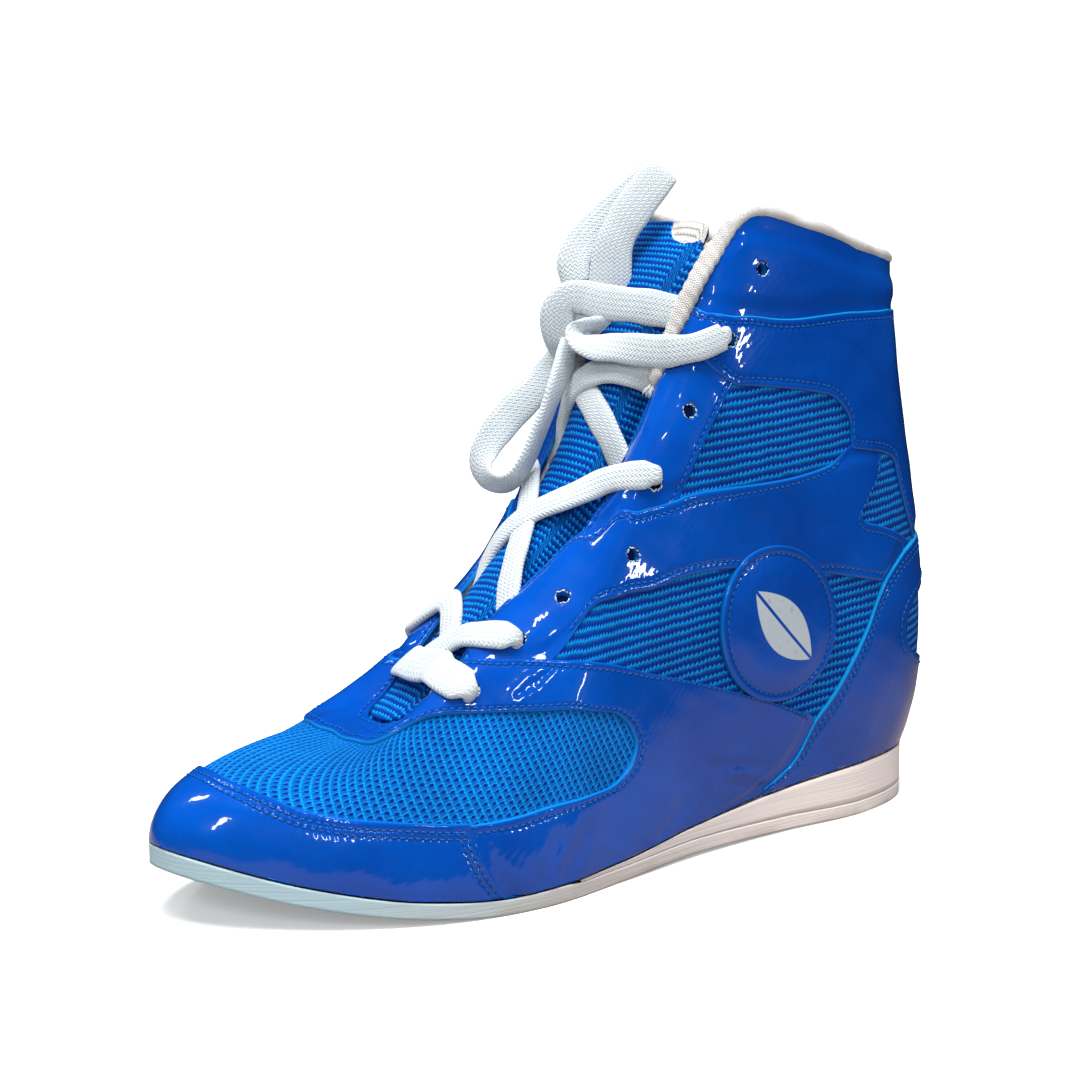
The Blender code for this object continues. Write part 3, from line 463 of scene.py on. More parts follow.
def surface(angle, height):
    """Outside of the finished upper at a ring angle and a height, 0 at the sole and 1 at the edge."""
    angle, height = np.broadcast_arrays(np.asarray(angle, float), np.asarray(height, float))
    around = np.concatenate([SECTIONS[-4:], SECTIONS, SECTIONS[:4]])
    around[:4, 0] -= 360
    around[-4:, 0] += 360
    row = smooth(around[:, 0], around[:, 1:], np.mod(angle, 360))
    foot = feather(angle)
    along = unit(feather(angle + 0.5) - feather(angle - 0.5))
    above = foot + np.stack([-along[..., 1], along[..., 0], np.zeros_like(angle)], axis=-1) * row[..., 4:5]
    above[..., 2] += row[..., 3]
    edge = row[..., 0:3]
    below = edge + row[..., 5:8]
    part = height[..., None]
    return (
        (1 - part) ** 3 * foot + 3 * part * (1 - part) ** 2 * above
        + 3 * part ** 2 * (1 - part) * below + part ** 3 * edge
    )


def upper_normal(angle, height):
    round_way = surface(angle + 0.4, height) - surface(angle - 0.4, height)
    up_way = surface(angle, height + 0.004) - surface(angle, height - 0.004)
    return unit(np.cross(up_way, round_way))


def upper_point(angle, height, lift):
    """A point set off the outside of the upper by a lift, outward when positive."""
    angle, height = np.broadcast_arrays(np.asarray(angle, float), np.asarray(height, float))
    lift = np.broadcast_to(np.asarray(lift, float), angle.shape)
    return surface(angle, height) + upper_normal(angle, height) * lift[..., None]


def punch(target, cutter):
    """Cuts the cutter's holes through a closed piece and keeps the cut mesh."""
    cut = target.modifiers.new("holes", "BOOLEAN")
    cut.operation = "DIFFERENCE"
    cut.solver = "MANIFOLD"
    cut.object = cutter
    bpy.context.view_layer.update()
    whole = target.data
    target.data = bpy.data.meshes.new_from_object(target.evaluated_get(bpy.context.evaluated_depsgraph_get()))
    target.modifiers.clear()
    name = whole.name
    bpy.data.meshes.remove(whole)
    target.data.name = name


def each_eyelet():
    """Ring angle, height and outward axis of every eyelet, lateral and medial one of each pair in turn."""
    for ring_angle, ring_height in EYELETS:
        for side_angle in (ring_angle, 360 - ring_angle):
            yield side_angle, ring_height, upper_normal(np.array(side_angle), np.array(ring_height))


bores = bmesh.new()
for side_angle, ring_height, axis in each_eyelet():
    middle = Vector((upper_point(side_angle, ring_height, -1.5) - MIDDLE) / 1000)
    stand = Matrix.Translation(middle) @ Vector(axis).to_track_quat("Z", "Y").to_matrix().to_4x4()
    bmesh.ops.create_cone(
        bores, cap_ends=True, segments=24, radius1=EYELET / 2000, radius2=EYELET / 2000,
        depth=0.008, matrix=stand)
bore_mesh = bpy.data.meshes.new("eyelet_bores")
bores.to_mesh(bore_mesh)
bores.free()
bore_cutter = new_object("eyelet_bores", bore_mesh)


def group(name, outputs, *inputs):
    """An empty node group with float outputs and vector or float inputs."""
    made = bpy.data.node_groups.new(name, "ShaderNodeTree")
    for key, kind in inputs:
        made.interface.new_socket(key, in_out="INPUT", socket_type="NodeSocket" + kind)
    for key in outputs:
        made.interface.new_socket(key, in_out="OUTPUT", socket_type="NodeSocketFloat")
    return made, made.nodes.new("NodeGroupInput").outputs, made.nodes.new("NodeGroupOutput").inputs


# Loop knit: staggered peaked loops in millimetres, each with a dark hollow under its peak that is painted shade;
# one leg of each loop is painted lighter than the other
loop_knit, knit_in, knit_out = group("loop_knit", ("Yarn and shade", "Relief"), ("Lay", "Vector"))
do, fade = partial(calc, loop_knit), partial(ramp, loop_knit)
wander = add(loop_knit, "TexNoise", {"Vector": knit_in[0], "Scale": 0.3, "Detail": 1.0}).outputs[0]
uneven = add(loop_knit, "TexNoise", {"Vector": knit_in[0], "Scale": 0.9, "Detail": 2.0}).outputs[0]
axes = add(loop_knit, "SeparateXYZ", {0: knit_in[0]}).outputs
row_place = do("MULTIPLY_ADD", wander, 0.5, do("DIVIDE", axes[1], LOOP_CELL[1]))
odd = do("MULTIPLY", do("FLOORED_MODULO", do("FLOOR", row_place), 2.0), 0.5)
column_place = do("ADD", do("DIVIDE", axes[0], LOOP_CELL[0]), odd)
column_place = do("MULTIPLY_ADD", wander, 0.25, column_place)
across = do("SUBTRACT", do("FRACT", column_place), 0.5)
up = do("SUBTRACT", do("FRACT", row_place), 0.5)
across = do("MULTIPLY_ADD", up, 0.16, across)
leg = do("MULTIPLY", do("ABSOLUTE", across), 1.5)
off_leg = do("ABSOLUTE", do("SUBTRACT", do("ADD", up, leg), 0.26))
stroke = do("MULTIPLY", fade(off_leg, 0.36, 0.10), fade(across, -0.12, 0.12, 1.0, 0.55))
wide = do("POWER", do("DIVIDE", across, 0.27), 2.0)
low = do("POWER", do("DIVIDE", do("ADD", up, 0.24), 0.30), 2.0)
hollow_shade = fade(do("ADD", wide, low), 1.3, 0.4)
yarn_and_shade = do("MULTIPLY_ADD", stroke, fade(uneven, 0.3, 0.7, 0.40, 0.78), 0.30)
yarn_and_shade = do("MULTIPLY_ADD", hollow_shade, -0.42, yarn_and_shade)
strand = do("SINE", do("MULTIPLY", do("ADD", axes[0], axes[1]), 9.0))
loop_knit.links.new(yarn_and_shade, knit_out["Yarn and shade"])
loop_knit.links.new(do("MULTIPLY_ADD", strand, 0.06, yarn_and_shade), knit_out["Relief"])

# Rib knit: rows of light ribs, each a comb of slanted stitches; each rib is painted bright at its top and fades
# into painted shade below
rib_knit, knit_in, knit_out = group("rib_knit", ("Yarn and shade", "Relief"), ("Lay", "Vector"))
do, fade = partial(calc, rib_knit), partial(ramp, rib_knit)
wander = add(rib_knit, "TexNoise", {"Vector": knit_in[0], "Scale": 0.18, "Detail": 1.0}).outputs[0]
axes = add(rib_knit, "SeparateXYZ", {0: knit_in[0]}).outputs
row_place = do("MULTIPLY_ADD", wander, 0.35, do("DIVIDE", axes[1], RIB_ROW))
tooth_place = do("DIVIDE", do("MULTIPLY_ADD", axes[1], 0.55, axes[0]), RIB_ZIG)
tooth = do("FRACT", do("MULTIPLY_ADD", wander, 0.8, tooth_place))
crest = do("MINIMUM", do("DIVIDE", tooth, 0.65), do("DIVIDE", do("SUBTRACT", 1.0, tooth), 0.35))
row_place = do("MULTIPLY_ADD", crest, -0.36, row_place)
rise = do("SUBTRACT", do("FRACT", row_place), 0.5)
yarn_and_shade = do("MULTIPLY", fade(rise, -0.36, 0.02), fade(rise, 0.38, 0.26))
comb = do("MAXIMUM", fade(crest, 0.1, 0.75, 0.12, 1.0), do("MULTIPLY", fade(rise, 0.02, 0.22), 0.85))
yarn_and_shade = do("MULTIPLY", yarn_and_shade, comb)
rib_knit.links.new(yarn_and_shade, knit_out["Yarn and shade"])
rib_knit.links.new(yarn_and_shade, knit_out["Relief"])


def knit_material(name, loops_share, fineness):
    """Blue mesh cloth of ribs, with loops where the piece's value of the given name is 0."""
    made, tree, shader = start_material(name)
    lay = add(tree, "UVMap", uv_map="lay").outputs[0]
    lay = add(tree, "VectorMath", {0: lay, "Scale": fineness}, operation="SCALE").outputs[0]
    ribs = add(tree, "Group", {}, node_tree=rib_knit)
    tree.links.new(lay, ribs.inputs[0])
    yarn_and_shade, relief = ribs.outputs[0], ribs.outputs[1]
    if loops_share:
        loops = add(tree, "Group", {}, node_tree=loop_knit)
        tree.links.new(lay, loops.inputs[0])
        share = add(tree, "Attribute", attribute_name=loops_share).outputs["Fac"]
        yarn_and_shade = add(tree, "Mix", {0: share, 2: loops.outputs[0], 3: yarn_and_shade}).outputs[0]
        relief = add(tree, "Mix", {0: share, 2: loops.outputs[1], 3: relief}).outputs[0]
    # The yarn mask carries both the knit pattern and its painted light and shade, coloured between KNIT_DARK and
    # KNIT_LIGHT
    colour = mix_colour(tree, yarn_and_shade, KNIT_DARK, KNIT_LIGHT)
    uneven = ramp(tree, noise(tree, 55.0, 3.0), 0.25, 0.75, 0.85, 1.1)
    wire(shader, "Base Color", mix_colour(tree, 1.0, colour, uneven, "MULTIPLY"))
    wire(shader, "Roughness", ramp(tree, yarn_and_shade, 0.0, 1.0, 0.8, 0.55))
    shader.inputs["Specular IOR Level"].default_value = 0.15
    bump(tree, shader, 0.9, 0.0006, relief)
    return made


def lay_axes(tree):
    """The piece's own lay, along and across."""
    return add(tree, "SeparateXYZ", {0: add(tree, "UVMap", uv_map="lay").outputs[0]}).outputs


def lining_thread(tree, along, across):
    """Zigzag stitches of the white lining."""
    slant = calc(tree, "MULTIPLY_ADD", calc(tree, "PINGPONG", across, 0.55), 1.1, along)
    return calc(tree, "SINE", calc(tree, "MULTIPLY", slant, 7.5))


upper_knit = knit_material("upper_knit", "ribbed", 1.0)

lining_knit, tree, shader = start_material("lining_knit")
thread_wave = lining_thread(tree, *lay_axes(tree)[:2])
cloudy = noise(tree, 140.0, 4.0)
colour = mix_colour(tree, ramp(tree, cloudy, 0.3, 0.75), *LINING_WORN)
shade = ramp(tree, thread_wave, -1.0, 0.6, 0.84, 1.04)
wire(shader, "Base Color", mix_colour(tree, 1.0, colour, shade, "MULTIPLY"))
wire(shader, "Roughness", ramp(tree, cloudy, 0.2, 0.8, 0.8, 0.95))
bump(tree, shader, 0.55, 0.0003, thread_wave)

# Columns lie evenly round the shoe, rows run up the outside, over the edge and down the inside
UPPER_COLUMNS, OUTER_ROWS, INNER_ROWS = 541, 88, 25
fine_ring = np.linspace(0, 360, 2881)
girth = run_length(surface(fine_ring, 0.35))
ring = np.interp(np.linspace(0, 1, UPPER_COLUMNS), girth / girth[-1], fine_ring)
from_heel = np.minimum(ring, 360 - ring)
climb = (surface(ring, 1.0) - surface(ring, 0.99)) / 0.01
edge_way = unit(surface(ring + 0.4, 1.0) - surface(ring - 0.4, 1.0))
drop = np.interp(from_heel, (68, 84, 97, 104), (2.2, 3.2, 3.2, 2.0))
room = drop / np.linalg.norm(np.cross(climb, edge_way), axis=1)
heights = np.concatenate([np.linspace(0, 1, OUTER_ROWS), [1.0, 1.0], np.linspace(1, 0, INNER_ROWS), [0.0]])
lifts = np.concatenate(
    [np.full(OUTER_ROWS, CLOTH_LIFT), [-1.7, -2.8], np.full(INNER_ROWS, LINING_LIFT), [CLOTH_LIFT]])
angle_grid = np.broadcast_to(ring[:, None], (len(ring), len(heights)))
height_grid = heights[None] * (1 - room[:, None])
points = upper_point(angle_grid, height_grid, lifts[None])
points[:, heights == 0.0, 2] = feather(ring)[:, None, 2]

# Lay of the knit: the vamp counts along its level lines from the lateral ball, the sides along the ring
folded = np.minimum(angle_grid, 360 - angle_grid)
joint = np.interp(folded, KNIT_JOINT[:, 0], KNIT_JOINT[:, 1])
ribbed = (height_grid > joint).astype(float)
steady = ease(140, 185, angle_grid)
knit_height = height_grid * (1 - steady) + 0.55 * steady
step = np.linalg.norm(np.gradient(surface(angle_grid, knit_height), axis=0), axis=-1)
loop_u = np.cumsum(step, axis=0)
loop_u -= loop_u[np.argmin(np.abs(ring - 122))][None]
loop_v = run_length(points, 1)
rib_u = np.broadcast_to(run_length(surface(ring, 0.45))[:, None], loop_u.shape)
rib_v = points[..., 2] + RIB_SLOPE * points[..., 0]
lay = np.where(ribbed[..., None] > 0.5, np.stack([rib_u, rib_v], -1), np.stack([loop_u, loop_v], -1))
faces = np.where(np.arange(len(heights) - 1) < OUTER_ROWS, 0, 1).astype(np.int32)
upper_mesh = sheet("upper_shell", points, lay, faces, {"ribbed": ribbed})
upper = place_piece(upper_mesh, [upper_knit, lining_knit], "mesh_cloth", "upper")
punch(upper, bore_cutter)

# Patent panels: thin coated leather cut with a light blue edge, laid over the knit and over each other
# from the heel counter and toe cap inward, and sewn down with blue thread a little inside each edge.
PANEL_FOOT = -1.35
CUT_SLOPE = 0.55
TUCK_REACH = 4.0
TUCK_DROP = 0.85
STITCH_INSET = (2.4, 4.5)
STITCH_PITCH = 2.3
COLUMN_STEP = 0.58
UNDER_ROWS = 10
EDGE_ROWS = np.array([-CUT_SLOPE, 0.0, 0.12, 0.35, 0.8, 1.4, 1.9, 2.4, 2.9, 3.4, 4.0, 4.5, 5.0, 5.8, 7.0])
PATENT_DEEP = (0.000, 0.050, 0.330, 1.0)
PATENT_BRIGHT = (0.000, 0.072, 0.430, 1.0)
CUT_COLOUR = (0.006, 0.260, 0.560, 1.0)

# Each panel row: angle and height on one edge, the same on the other edge, then how each edge lies: 0 on top,
# 1 tucked under the next panel, 2 lasted down to the sole
TOE_CAP = np.array([
    (115.2, 0.004, 122.4, 0.246, 2, 0), (122.0, 0.004, 130.0, 0.256, 2, 0), (130.0, 0.004, 138.0, 0.262, 2, 0),
    (140.0, 0.004, 146.8, 0.295, 2, 0), (154.0, 0.004, 157.0, 0.354, 2, 0), (167.0, 0.004, 167.5, 0.396, 2, 0),
    (180.0, 0.004, 180.0, 0.420, 2, 0),
])
VAMP_BAND = np.array([
    (121.6, 0.240, 114.4, 0.004, 0, 2), (112.5, 0.238, 104.0, 0.004, 0, 2), (103.5, 0.216, 90.0, 0.004, 0, 2),
    (98.3, 0.204, 78.0, 0.004, 0, 2), (95.8, 0.214, 69.4, 0.022, 0, 1), (94.2, 0.234, 63.0, 0.068, 0, 1),
    (93.8, 0.256, 59.4, 0.143, 0, 0.5), (94.8, 0.290, 64.0, 0.190, 0, 0), (98.0, 0.336, 76.5, 0.272, 0, 0),
    (103.5, 0.380, 90.5, 0.357, 0, 0), (112.0, 0.445, 104.5, 0.472, 0, 0), (124.0, 0.519, 116.0, 0.576, 0, 0),
    (134.5, 0.576, 127.0, 0.676, 0, 0), (142.8, 0.612, 138.0, 0.815, 0, 0), (150.0, 0.680, 146.0, 0.985, 0, 0),
    (158.0, 0.755, 156.0, 0.985, 0, 0), (170.0, 0.815, 169.0, 0.985, 0, 0), (180.0, 0.840, 180.0, 0.985, 0, 0),
])
EYESTAY_WAVE = np.array([
    (138.0, 0.850, 143.5, 0.985, 1, 0), (128.3, 0.704, 133.0, 0.985, 1, 0), (117.3, 0.604, 122.5, 0.980, 1, 0),
    (109.5, 0.607, 115.0, 0.858, 0, 0), (100.0, 0.547, 105.0, 0.750, 0, 0), (91.5, 0.498, 96.5, 0.652, 0, 0),
    (84.5, 0.482, 86.5, 0.602, 0, 0), (79.0, 0.474, 76.0, 0.589, 0, 0), (74.0, 0.467, 66.5, 0.603, 0, 0),
    (70.0, 0.459, 58.5, 0.620, 0, 0), (66.5, 0.454, 53.0, 0.640, 0, 1), (64.0, 0.448, 48.5, 0.645, 0, 1),
    (62.0, 0.443, 44.8, 0.642, 0, 1), (60.4, 0.439, 44.0, 0.614, 0, 0), (58.4, 0.434, 47.2, 0.574, 0, 0),
    (56.0, 0.427, 50.4, 0.530, 0, 0), (53.0, 0.417, 49.0, 0.512, 0, 0), (49.5, 0.407, 44.0, 0.500, 0, 0),
    (46.0, 0.398, 39.0, 0.488, 0, 0), (43.6, 0.392, 34.5, 0.474, 0, 0),
])
EYESTAY_TAB = np.array([
    (118.5, 0.955, 101.0, 0.960, 1, 1), (112.5, 0.845, 95.8, 0.910, 1, 1), (105.0, 0.768, 90.8, 0.852, 1, 1),
    (98.0, 0.685, 84.5, 0.795, 1, 1), (91.5, 0.634, 80.0, 0.755, 1, 1), (86.5, 0.616, 77.3, 0.732, 1, 1),
])
ANKLE_BAND = np.array([
    (99.5, 0.950, 91.2, 0.952, 0, 0), (89.8, 0.856, 84.0, 0.868, 0, 0), (80.0, 0.762, 76.5, 0.838, 0, 0),
    (75.0, 0.738, 72.0, 0.840, 0, 0), (66.0, 0.745, 66.0, 0.853, 0, 0), (59.5, 0.742, 60.0, 0.868, 0, 0),
    (55.2, 0.722, 54.5, 0.880, 0, 0), (53.0, 0.690, 50.0, 0.887, 0, 0), (52.6, 0.652, 46.5, 0.892, 0, 0),
    (48.0, 0.646, 43.5, 0.895, 0, 0), (43.0, 0.642, 40.0, 0.899, 0, 0), (37.8, 0.630, 35.5, 0.903, 0, 0),
    (34.8, 0.572, 30.0, 0.905, 0, 0), (30.0, 0.496, 25.0, 0.907, 0, 0), (26.5, 0.478, 20.0, 0.908, 1, 0),
    (12.0, 0.474, 11.0, 0.908, 1, 0), (0.0, 0.474, 0.0, 0.908, 1, 0),
])
CUFF_TOP = np.array([
    (90.0, 0.953, 88.0, 0.964, 1, 1), (83.4, 0.876, 82.0, 0.972, 1, 1), (76.5, 0.846, 76.0, 0.972, 1, 1),
    (72.0, 0.848, 71.5, 0.972, 1, 1), (66.0, 0.861, 65.5, 0.972, 1, 1), (60.0, 0.876, 59.5, 0.972, 1, 1),
    (51.5, 0.893, 51.0, 0.972, 1, 1), (42.0, 0.905, 42.0, 0.972, 1, 1), (28.0, 0.914, 28.0, 0.972, 1, 1),
    (14.0, 0.916, 14.0, 0.972, 1, 1), (0.0, 0.916, 0.0, 0.972, 1, 1),
])
HEEL_COUNTER = np.array([
    (67.6, 0.004, 67.6, 0.017, 2, 0), (61.0, 0.004, 61.8, 0.062, 2, 0), (56.5, 0.004, 58.2, 0.136, 2, 0),
    (51.5, 0.004, 54.6, 0.182, 2, 0), (46.0, 0.004, 48.6, 0.285, 2, 0), (40.0, 0.004, 43.0, 0.390, 2, 0),
    (32.0, 0.004, 34.0, 0.450, 2, 0), (24.0, 0.004, 25.0, 0.468, 2, 0), (12.0, 0.004, 12.0, 0.468, 2, 0),
    (0.0, 0.004, 0.0, 0.468, 2, 0),
])

# Creases of the flexed leather: ring angle and height of both ends, width and depth
CREASES = [
    (78.2, 0.128, 73.8, 0.112, 1.7, 0.20), (73.8, 0.112, 69.0, 0.084, 1.7, 0.25),
    (74.5, 0.072, 67.8, 0.024, 1.8, 0.28), (120.4, 0.533, 118.6, 0.552, 0.8, 0.20),
    (119.0, 0.530, 117.0, 0.552, 0.8, 0.22), (117.6, 0.528, 115.4, 0.550, 0.8, 0.18),
    (88.0, 0.030, 84.0, 0.075, 2.0, 0.30), (106.0, 0.040, 103.0, 0.130, 2.6, 0.35),
    (110.0, 0.050, 108.0, 0.140, 2.6, 0.30), (150.0, 0.920, 162.0, 0.900, 1.2, 0.28),
    (152.0, 0.860, 166.0, 0.860, 1.3, 0.28), (144.0, 0.800, 141.0, 0.740, 1.2, 0.26),
]

patent, tree, shader = start_material("patent")
place = add(tree, "TexCoord").outputs["Object"]
cut_share = add(tree, "Attribute", attribute_name="cut").outputs["Fac"]
smear = {"Vector": place, "Scale": 90.0, "Detail": 5.0, "Distortion": 1.5}
colour = mix_colour(tree, ramp(tree, noise(tree, 24.0, 3.0), 0.3, 0.7), PATENT_DEEP, PATENT_BRIGHT)
is_cut = ramp(tree, cut_share, 0.0, 1.0)
wire(shader, "Base Color", mix_colour(tree, is_cut, colour, CUT_COLOUR))
gloss = ramp(tree, add(tree, "TexNoise", smear).outputs[0], 0.35, 0.8, 0.22, 0.34)
wire(shader, "Roughness", add(tree, "Mix", {0: is_cut, 2: gloss, 3: 0.6}).outputs[0])
wire(shader, "Coat Weight", calc(tree, "SUBTRACT", 1.0, is_cut))
shader.inputs["Coat Roughness"].default_value = 0.035
shader.inputs["Specular IOR Level"].default_value = 0.08
backing = {"Vector": place, "Scale": 210.0, "Distortion": 3.0, "Detail": 1.0}
backing = add(tree, "TexWave", backing, bands_direction="DIAGONAL").outputs[1]
relief = calc(tree, "MULTIPLY_ADD", backing, 0.10, noise(tree, 150.0))
wire(shader, "Coat Normal", bump(tree, shader, 0.30, 0.0005, relief))

seams = []


def carried_on(table, heel):
    """A lateral half table carried on to the medial side, round the heel or round the toe."""
    back = table[-2::-1].copy()
    turned = 0 if heel else 360
    back[:, [0, 2]] = turned - back[:, [0, 2]]
    return np.concatenate([table, back])


def swells(points):
    """Gentle unevenness of stretched leather, in millimetres."""
    x, y, z = points[..., 0], points[..., 1], points[..., 2]
    return (
        0.10 * np.sin(x / 5.3 + z / 7.1) * np.sin(z / 6.3 - y / 8.7)
        + 0.07 * np.sin(x / 3.1 - z / 4.3 + 1.0) * np.sin(y / 4.9 + z / 3.7)
    )


def creased(points):
    """Depth of the hand-placed creases at each point, in millimetres."""
    depth = np.zeros(points.shape[:-1])
    for first_angle, first_height, last_angle, last_height, wide, deep in CREASES:
        first, last = surface(first_angle, first_height), surface(last_angle, last_height)
        reach = np.sum((points - first) * (last - first), axis=-1) / np.sum((last - first) ** 2)
        part = np.clip(reach, 0, 1)
        apart = np.linalg.norm(points - first - part[..., None] * (last - first), axis=-1)
        depth += deep * np.exp(-(apart / wide) ** 2) - 0.35 * deep * np.exp(-((apart - 2.2 * wide) / wide) ** 2)
    return depth


def panel(name, table, ends, rows_between, double, ends_double, glow):
    """Closed thin panel between two edges; ends says whether its first and last end are tucked under (1) or
    not (0), and glow how light the cut shows on the two edges and the ends."""
    knots = np.arange(len(table), dtype=float)
    fine = np.linspace(0, knots[-1], 1500)
    way = level(knots, table, fine)
    stride = np.maximum(
        np.linalg.norm(np.diff(surface(way[:, 0], way[:, 1]), axis=0), axis=1),
        np.linalg.norm(np.diff(surface(way[:, 2], way[:, 3]), axis=0), axis=1))
    total = stride.sum()
    near = EDGE_ROWS * min(1.0, total / 16)
    start = near - TUCK_REACH * ends[0] * (1 - near / near[-1])
    finish = total - near[::-1] + TUCK_REACH * ends[1] * (1 - near[::-1] / near[-1])
    between = np.linspace(near[-1], total - near[-1], max(3, int((total - 2 * near[-1]) / COLUMN_STEP)))
    columns = np.concatenate([start, between[1:-1], finish])
    at = np.interp(columns, np.concatenate([[0], np.cumsum(stride)]), fine)
    rate = knots[-1] / total
    past_end = knots[-1] + (columns - total) * rate
    at = np.where(columns < 0, columns * rate, np.where(columns > total, past_end, at))
    way = level(knots, table, at)
    part = np.linspace(-0.6, 1.6, 67)
    line = surface(
        way[:, 0:1] + (way[:, 2:3] - way[:, 0:1]) * part,
        np.clip(way[:, 1:2] + (way[:, 3:4] - way[:, 1:2]) * part, -0.02, 1.0))
    steps = run_length(line, 1)
    low_mark = np.array([np.interp(0.0, part, row) for row in steps])
    width = np.array([np.interp(1.0, part, row) for row in steps]) - low_mark
    low_tuck, high_tuck = np.clip(way[:, 4:5], 0, 1), np.clip(way[:, 5:6], 0, 1)
    low_last, high_last = np.clip(way[:, 4:5] - 1, 0, 1), np.clip(way[:, 5:6] - 1, 0, 1)
    squeeze = np.minimum(1.0, width / 15.0)[:, None]
    to_edge = 1 - EDGE_ROWS / EDGE_ROWS[-1]
    low_rows = EDGE_ROWS * squeeze - TUCK_REACH * low_tuck * to_edge
    high_rows = EDGE_ROWS * squeeze - TUCK_REACH * high_tuck * to_edge
    share = np.linspace(0, 1, rows_between + 2)[1:-1]
    inner_low, inner_high = low_rows[:, -1:], width[:, None] - high_rows[:, -1:]
    rows = np.concatenate(
        [low_rows, inner_low + (inner_high - inner_low) * share, width[:, None] - high_rows[:, ::-1]], axis=1)
    spot = np.stack([np.interp(row + mark, step, part) for row, mark, step in zip(rows, low_mark, steps)])
    angle = way[:, 0:1] + (way[:, 2:3] - way[:, 0:1]) * spot
    height = np.clip(way[:, 1:2] + (way[:, 3:4] - way[:, 1:2]) * spot, 0.004, 0.992)
    flat = surface(angle, height)
    normal = upper_normal(angle, height)
    lift = swells(flat) - creased(flat) + 0.12
    cut = np.zeros_like(lift)
    over_rows = np.broadcast_to(rows / squeeze, lift.shape)
    over_back = np.broadcast_to((width[:, None] - rows) / squeeze, lift.shape)
    from_start = np.broadcast_to(columns[:, None], lift.shape) * 1.0
    from_end = np.broadcast_to((total - columns)[:, None], lift.shape) * 1.0
    at_start, at_end = np.full_like(low_tuck, ends[0]), np.full_like(low_tuck, ends[1])
    sides = [
        (over_rows, low_tuck, low_last, double, glow[0]), (over_back, high_tuck, high_last, double, glow[1]),
        (from_start, at_start, 0.0, ends_double, glow[2]), (from_end, at_end, 0.0, ends_double, glow[2]),
    ]
    seam_lines = []
    for index, (distance, tuck, lasted, twice, light) in enumerate(sides):
        over = 1 - tuck
        drop = tuck * TUCK_DROP * (1 - 0.9 * lasted)
        lift = lift - over * 0.30 * (1 - ease(0.0, 0.45, distance)) - drop * (1 - ease(0, 6, distance))
        cut = np.maximum(cut, over * light * (1 - ease(0.02, 0.3, distance)))
        for inset in STITCH_INSET[:2 if twice else 1]:
            row = int(np.argmin(np.abs(EDGE_ROWS - inset)))
            row = row if index in (0, 2) else -1 - row
            line = flat[:, row] if index < 2 else flat[row]
            along = run_length(line)
            needle = np.cos(np.pi * along / STITCH_PITCH) ** 2
            needle = needle[:, None] if index < 2 else needle[None]
            lift = lift - over * (0.16 + 0.26 * needle) * np.exp(-((distance - inset) / 0.55) ** 2)
            lift = lift - over * 0.06 * needle * np.exp(-((distance - inset) / 1.8) ** 2)
            keep = (over[:, 0] if index < 2 else np.full(lift.shape[1], over[0, 0])) > 0.5
            seam_lines.append((index, row, along, keep))
    lift[[0, -1]] = PANEL_FOOT
    lift[:, [0, -1]] = PANEL_FOOT
    outer = flat + normal * lift[..., None]
    for index, row, along, keep in seam_lines:
        line = outer[:, row] if index < 2 else outer[row]
        out_way = normal[:, row] if index < 2 else normal[row]
        inside = keep.copy()
        if index < 2:
            first_clear, last_clear = (1.6 if end == 0 else -0.5 for end in ends)
            inside &= (columns > first_clear) & (columns < total - last_clear) & (squeeze[:, 0] > 0.6)
        else:
            column = row if row >= 0 else len(columns) + row
            inside &= over_rows[column] > 1.6 - 2 * low_tuck[column, 0]
            inside &= over_back[column] > 1.6 - 2 * high_tuck[column, 0]
        seams.append((line, out_way, along, inside))
    under = np.linspace(0, 1, UNDER_ROWS)
    under_angle = angle[:, -1:] + (angle[:, :1] - angle[:, -1:]) * under
    under_height = height[:, -1:] + (height[:, :1] - height[:, -1:]) * under
    inner = upper_point(under_angle, under_height, PANEL_FOOT)
    points = np.concatenate([outer, inner[:, 1:]], axis=1)
    cut = np.concatenate([cut, np.zeros((len(columns), UNDER_ROWS - 1))], axis=1)
    cut[:, -1] = cut[:, 0]
    return sheet(name, points, values={"cut": cut})


def other_side(table):
    turned = table.copy()
    turned[:, [0, 2]] = 360 - turned[:, [0, 2]]
    return turned


# Name, solid, rows, tucked ends, rows between the edges, double seams along and at the ends, holes, light cut
PANELS = [
    ("patent_toe_cap", "toe_cap", carried_on(TOE_CAP, False),
     (0, 0), 16, True, True, False, (0, 0.35, 0.3)),
    ("patent_vamp_band", "vamp_band", carried_on(VAMP_BAND, False),
     (1, 1), 18, False, False, True, (0.55, 0.3, 0)),
    ("patent_wave_lateral", "eyestay_wave_lateral", EYESTAY_WAVE,
     (1, 1), 18, False, False, True, (0.35, 0.45, 0)),
    ("patent_wave_medial", "eyestay_wave_medial", other_side(EYESTAY_WAVE),
     (1, 1), 18, False, False, True, (0.35, 0.45, 0)),
    ("patent_tab_lateral", "eyestay_tab_lateral", EYESTAY_TAB,
     (0, 0), 14, False, False, True, (0.5, 0.5, 0.4)),
    ("patent_tab_medial", "eyestay_tab_medial", other_side(EYESTAY_TAB),
     (0, 0), 14, False, False, True, (0.5, 0.5, 0.4)),
    ("patent_ankle_band", "ankle_band", carried_on(ANKLE_BAND, True),
     (1, 1), 20, False, False, True, (0.3, 0.8, 0.3)),
    ("patent_cuff_top", "cuff_top", carried_on(CUFF_TOP, True),
     (1, 1), 8, False, False, True, (0, 0, 0)),
    ("patent_heel_counter", "heel_counter", carried_on(HEEL_COUNTER, True),
     (0, 0), 30, True, False, False, (0, 1.0, 0)),
]
pieces = {}
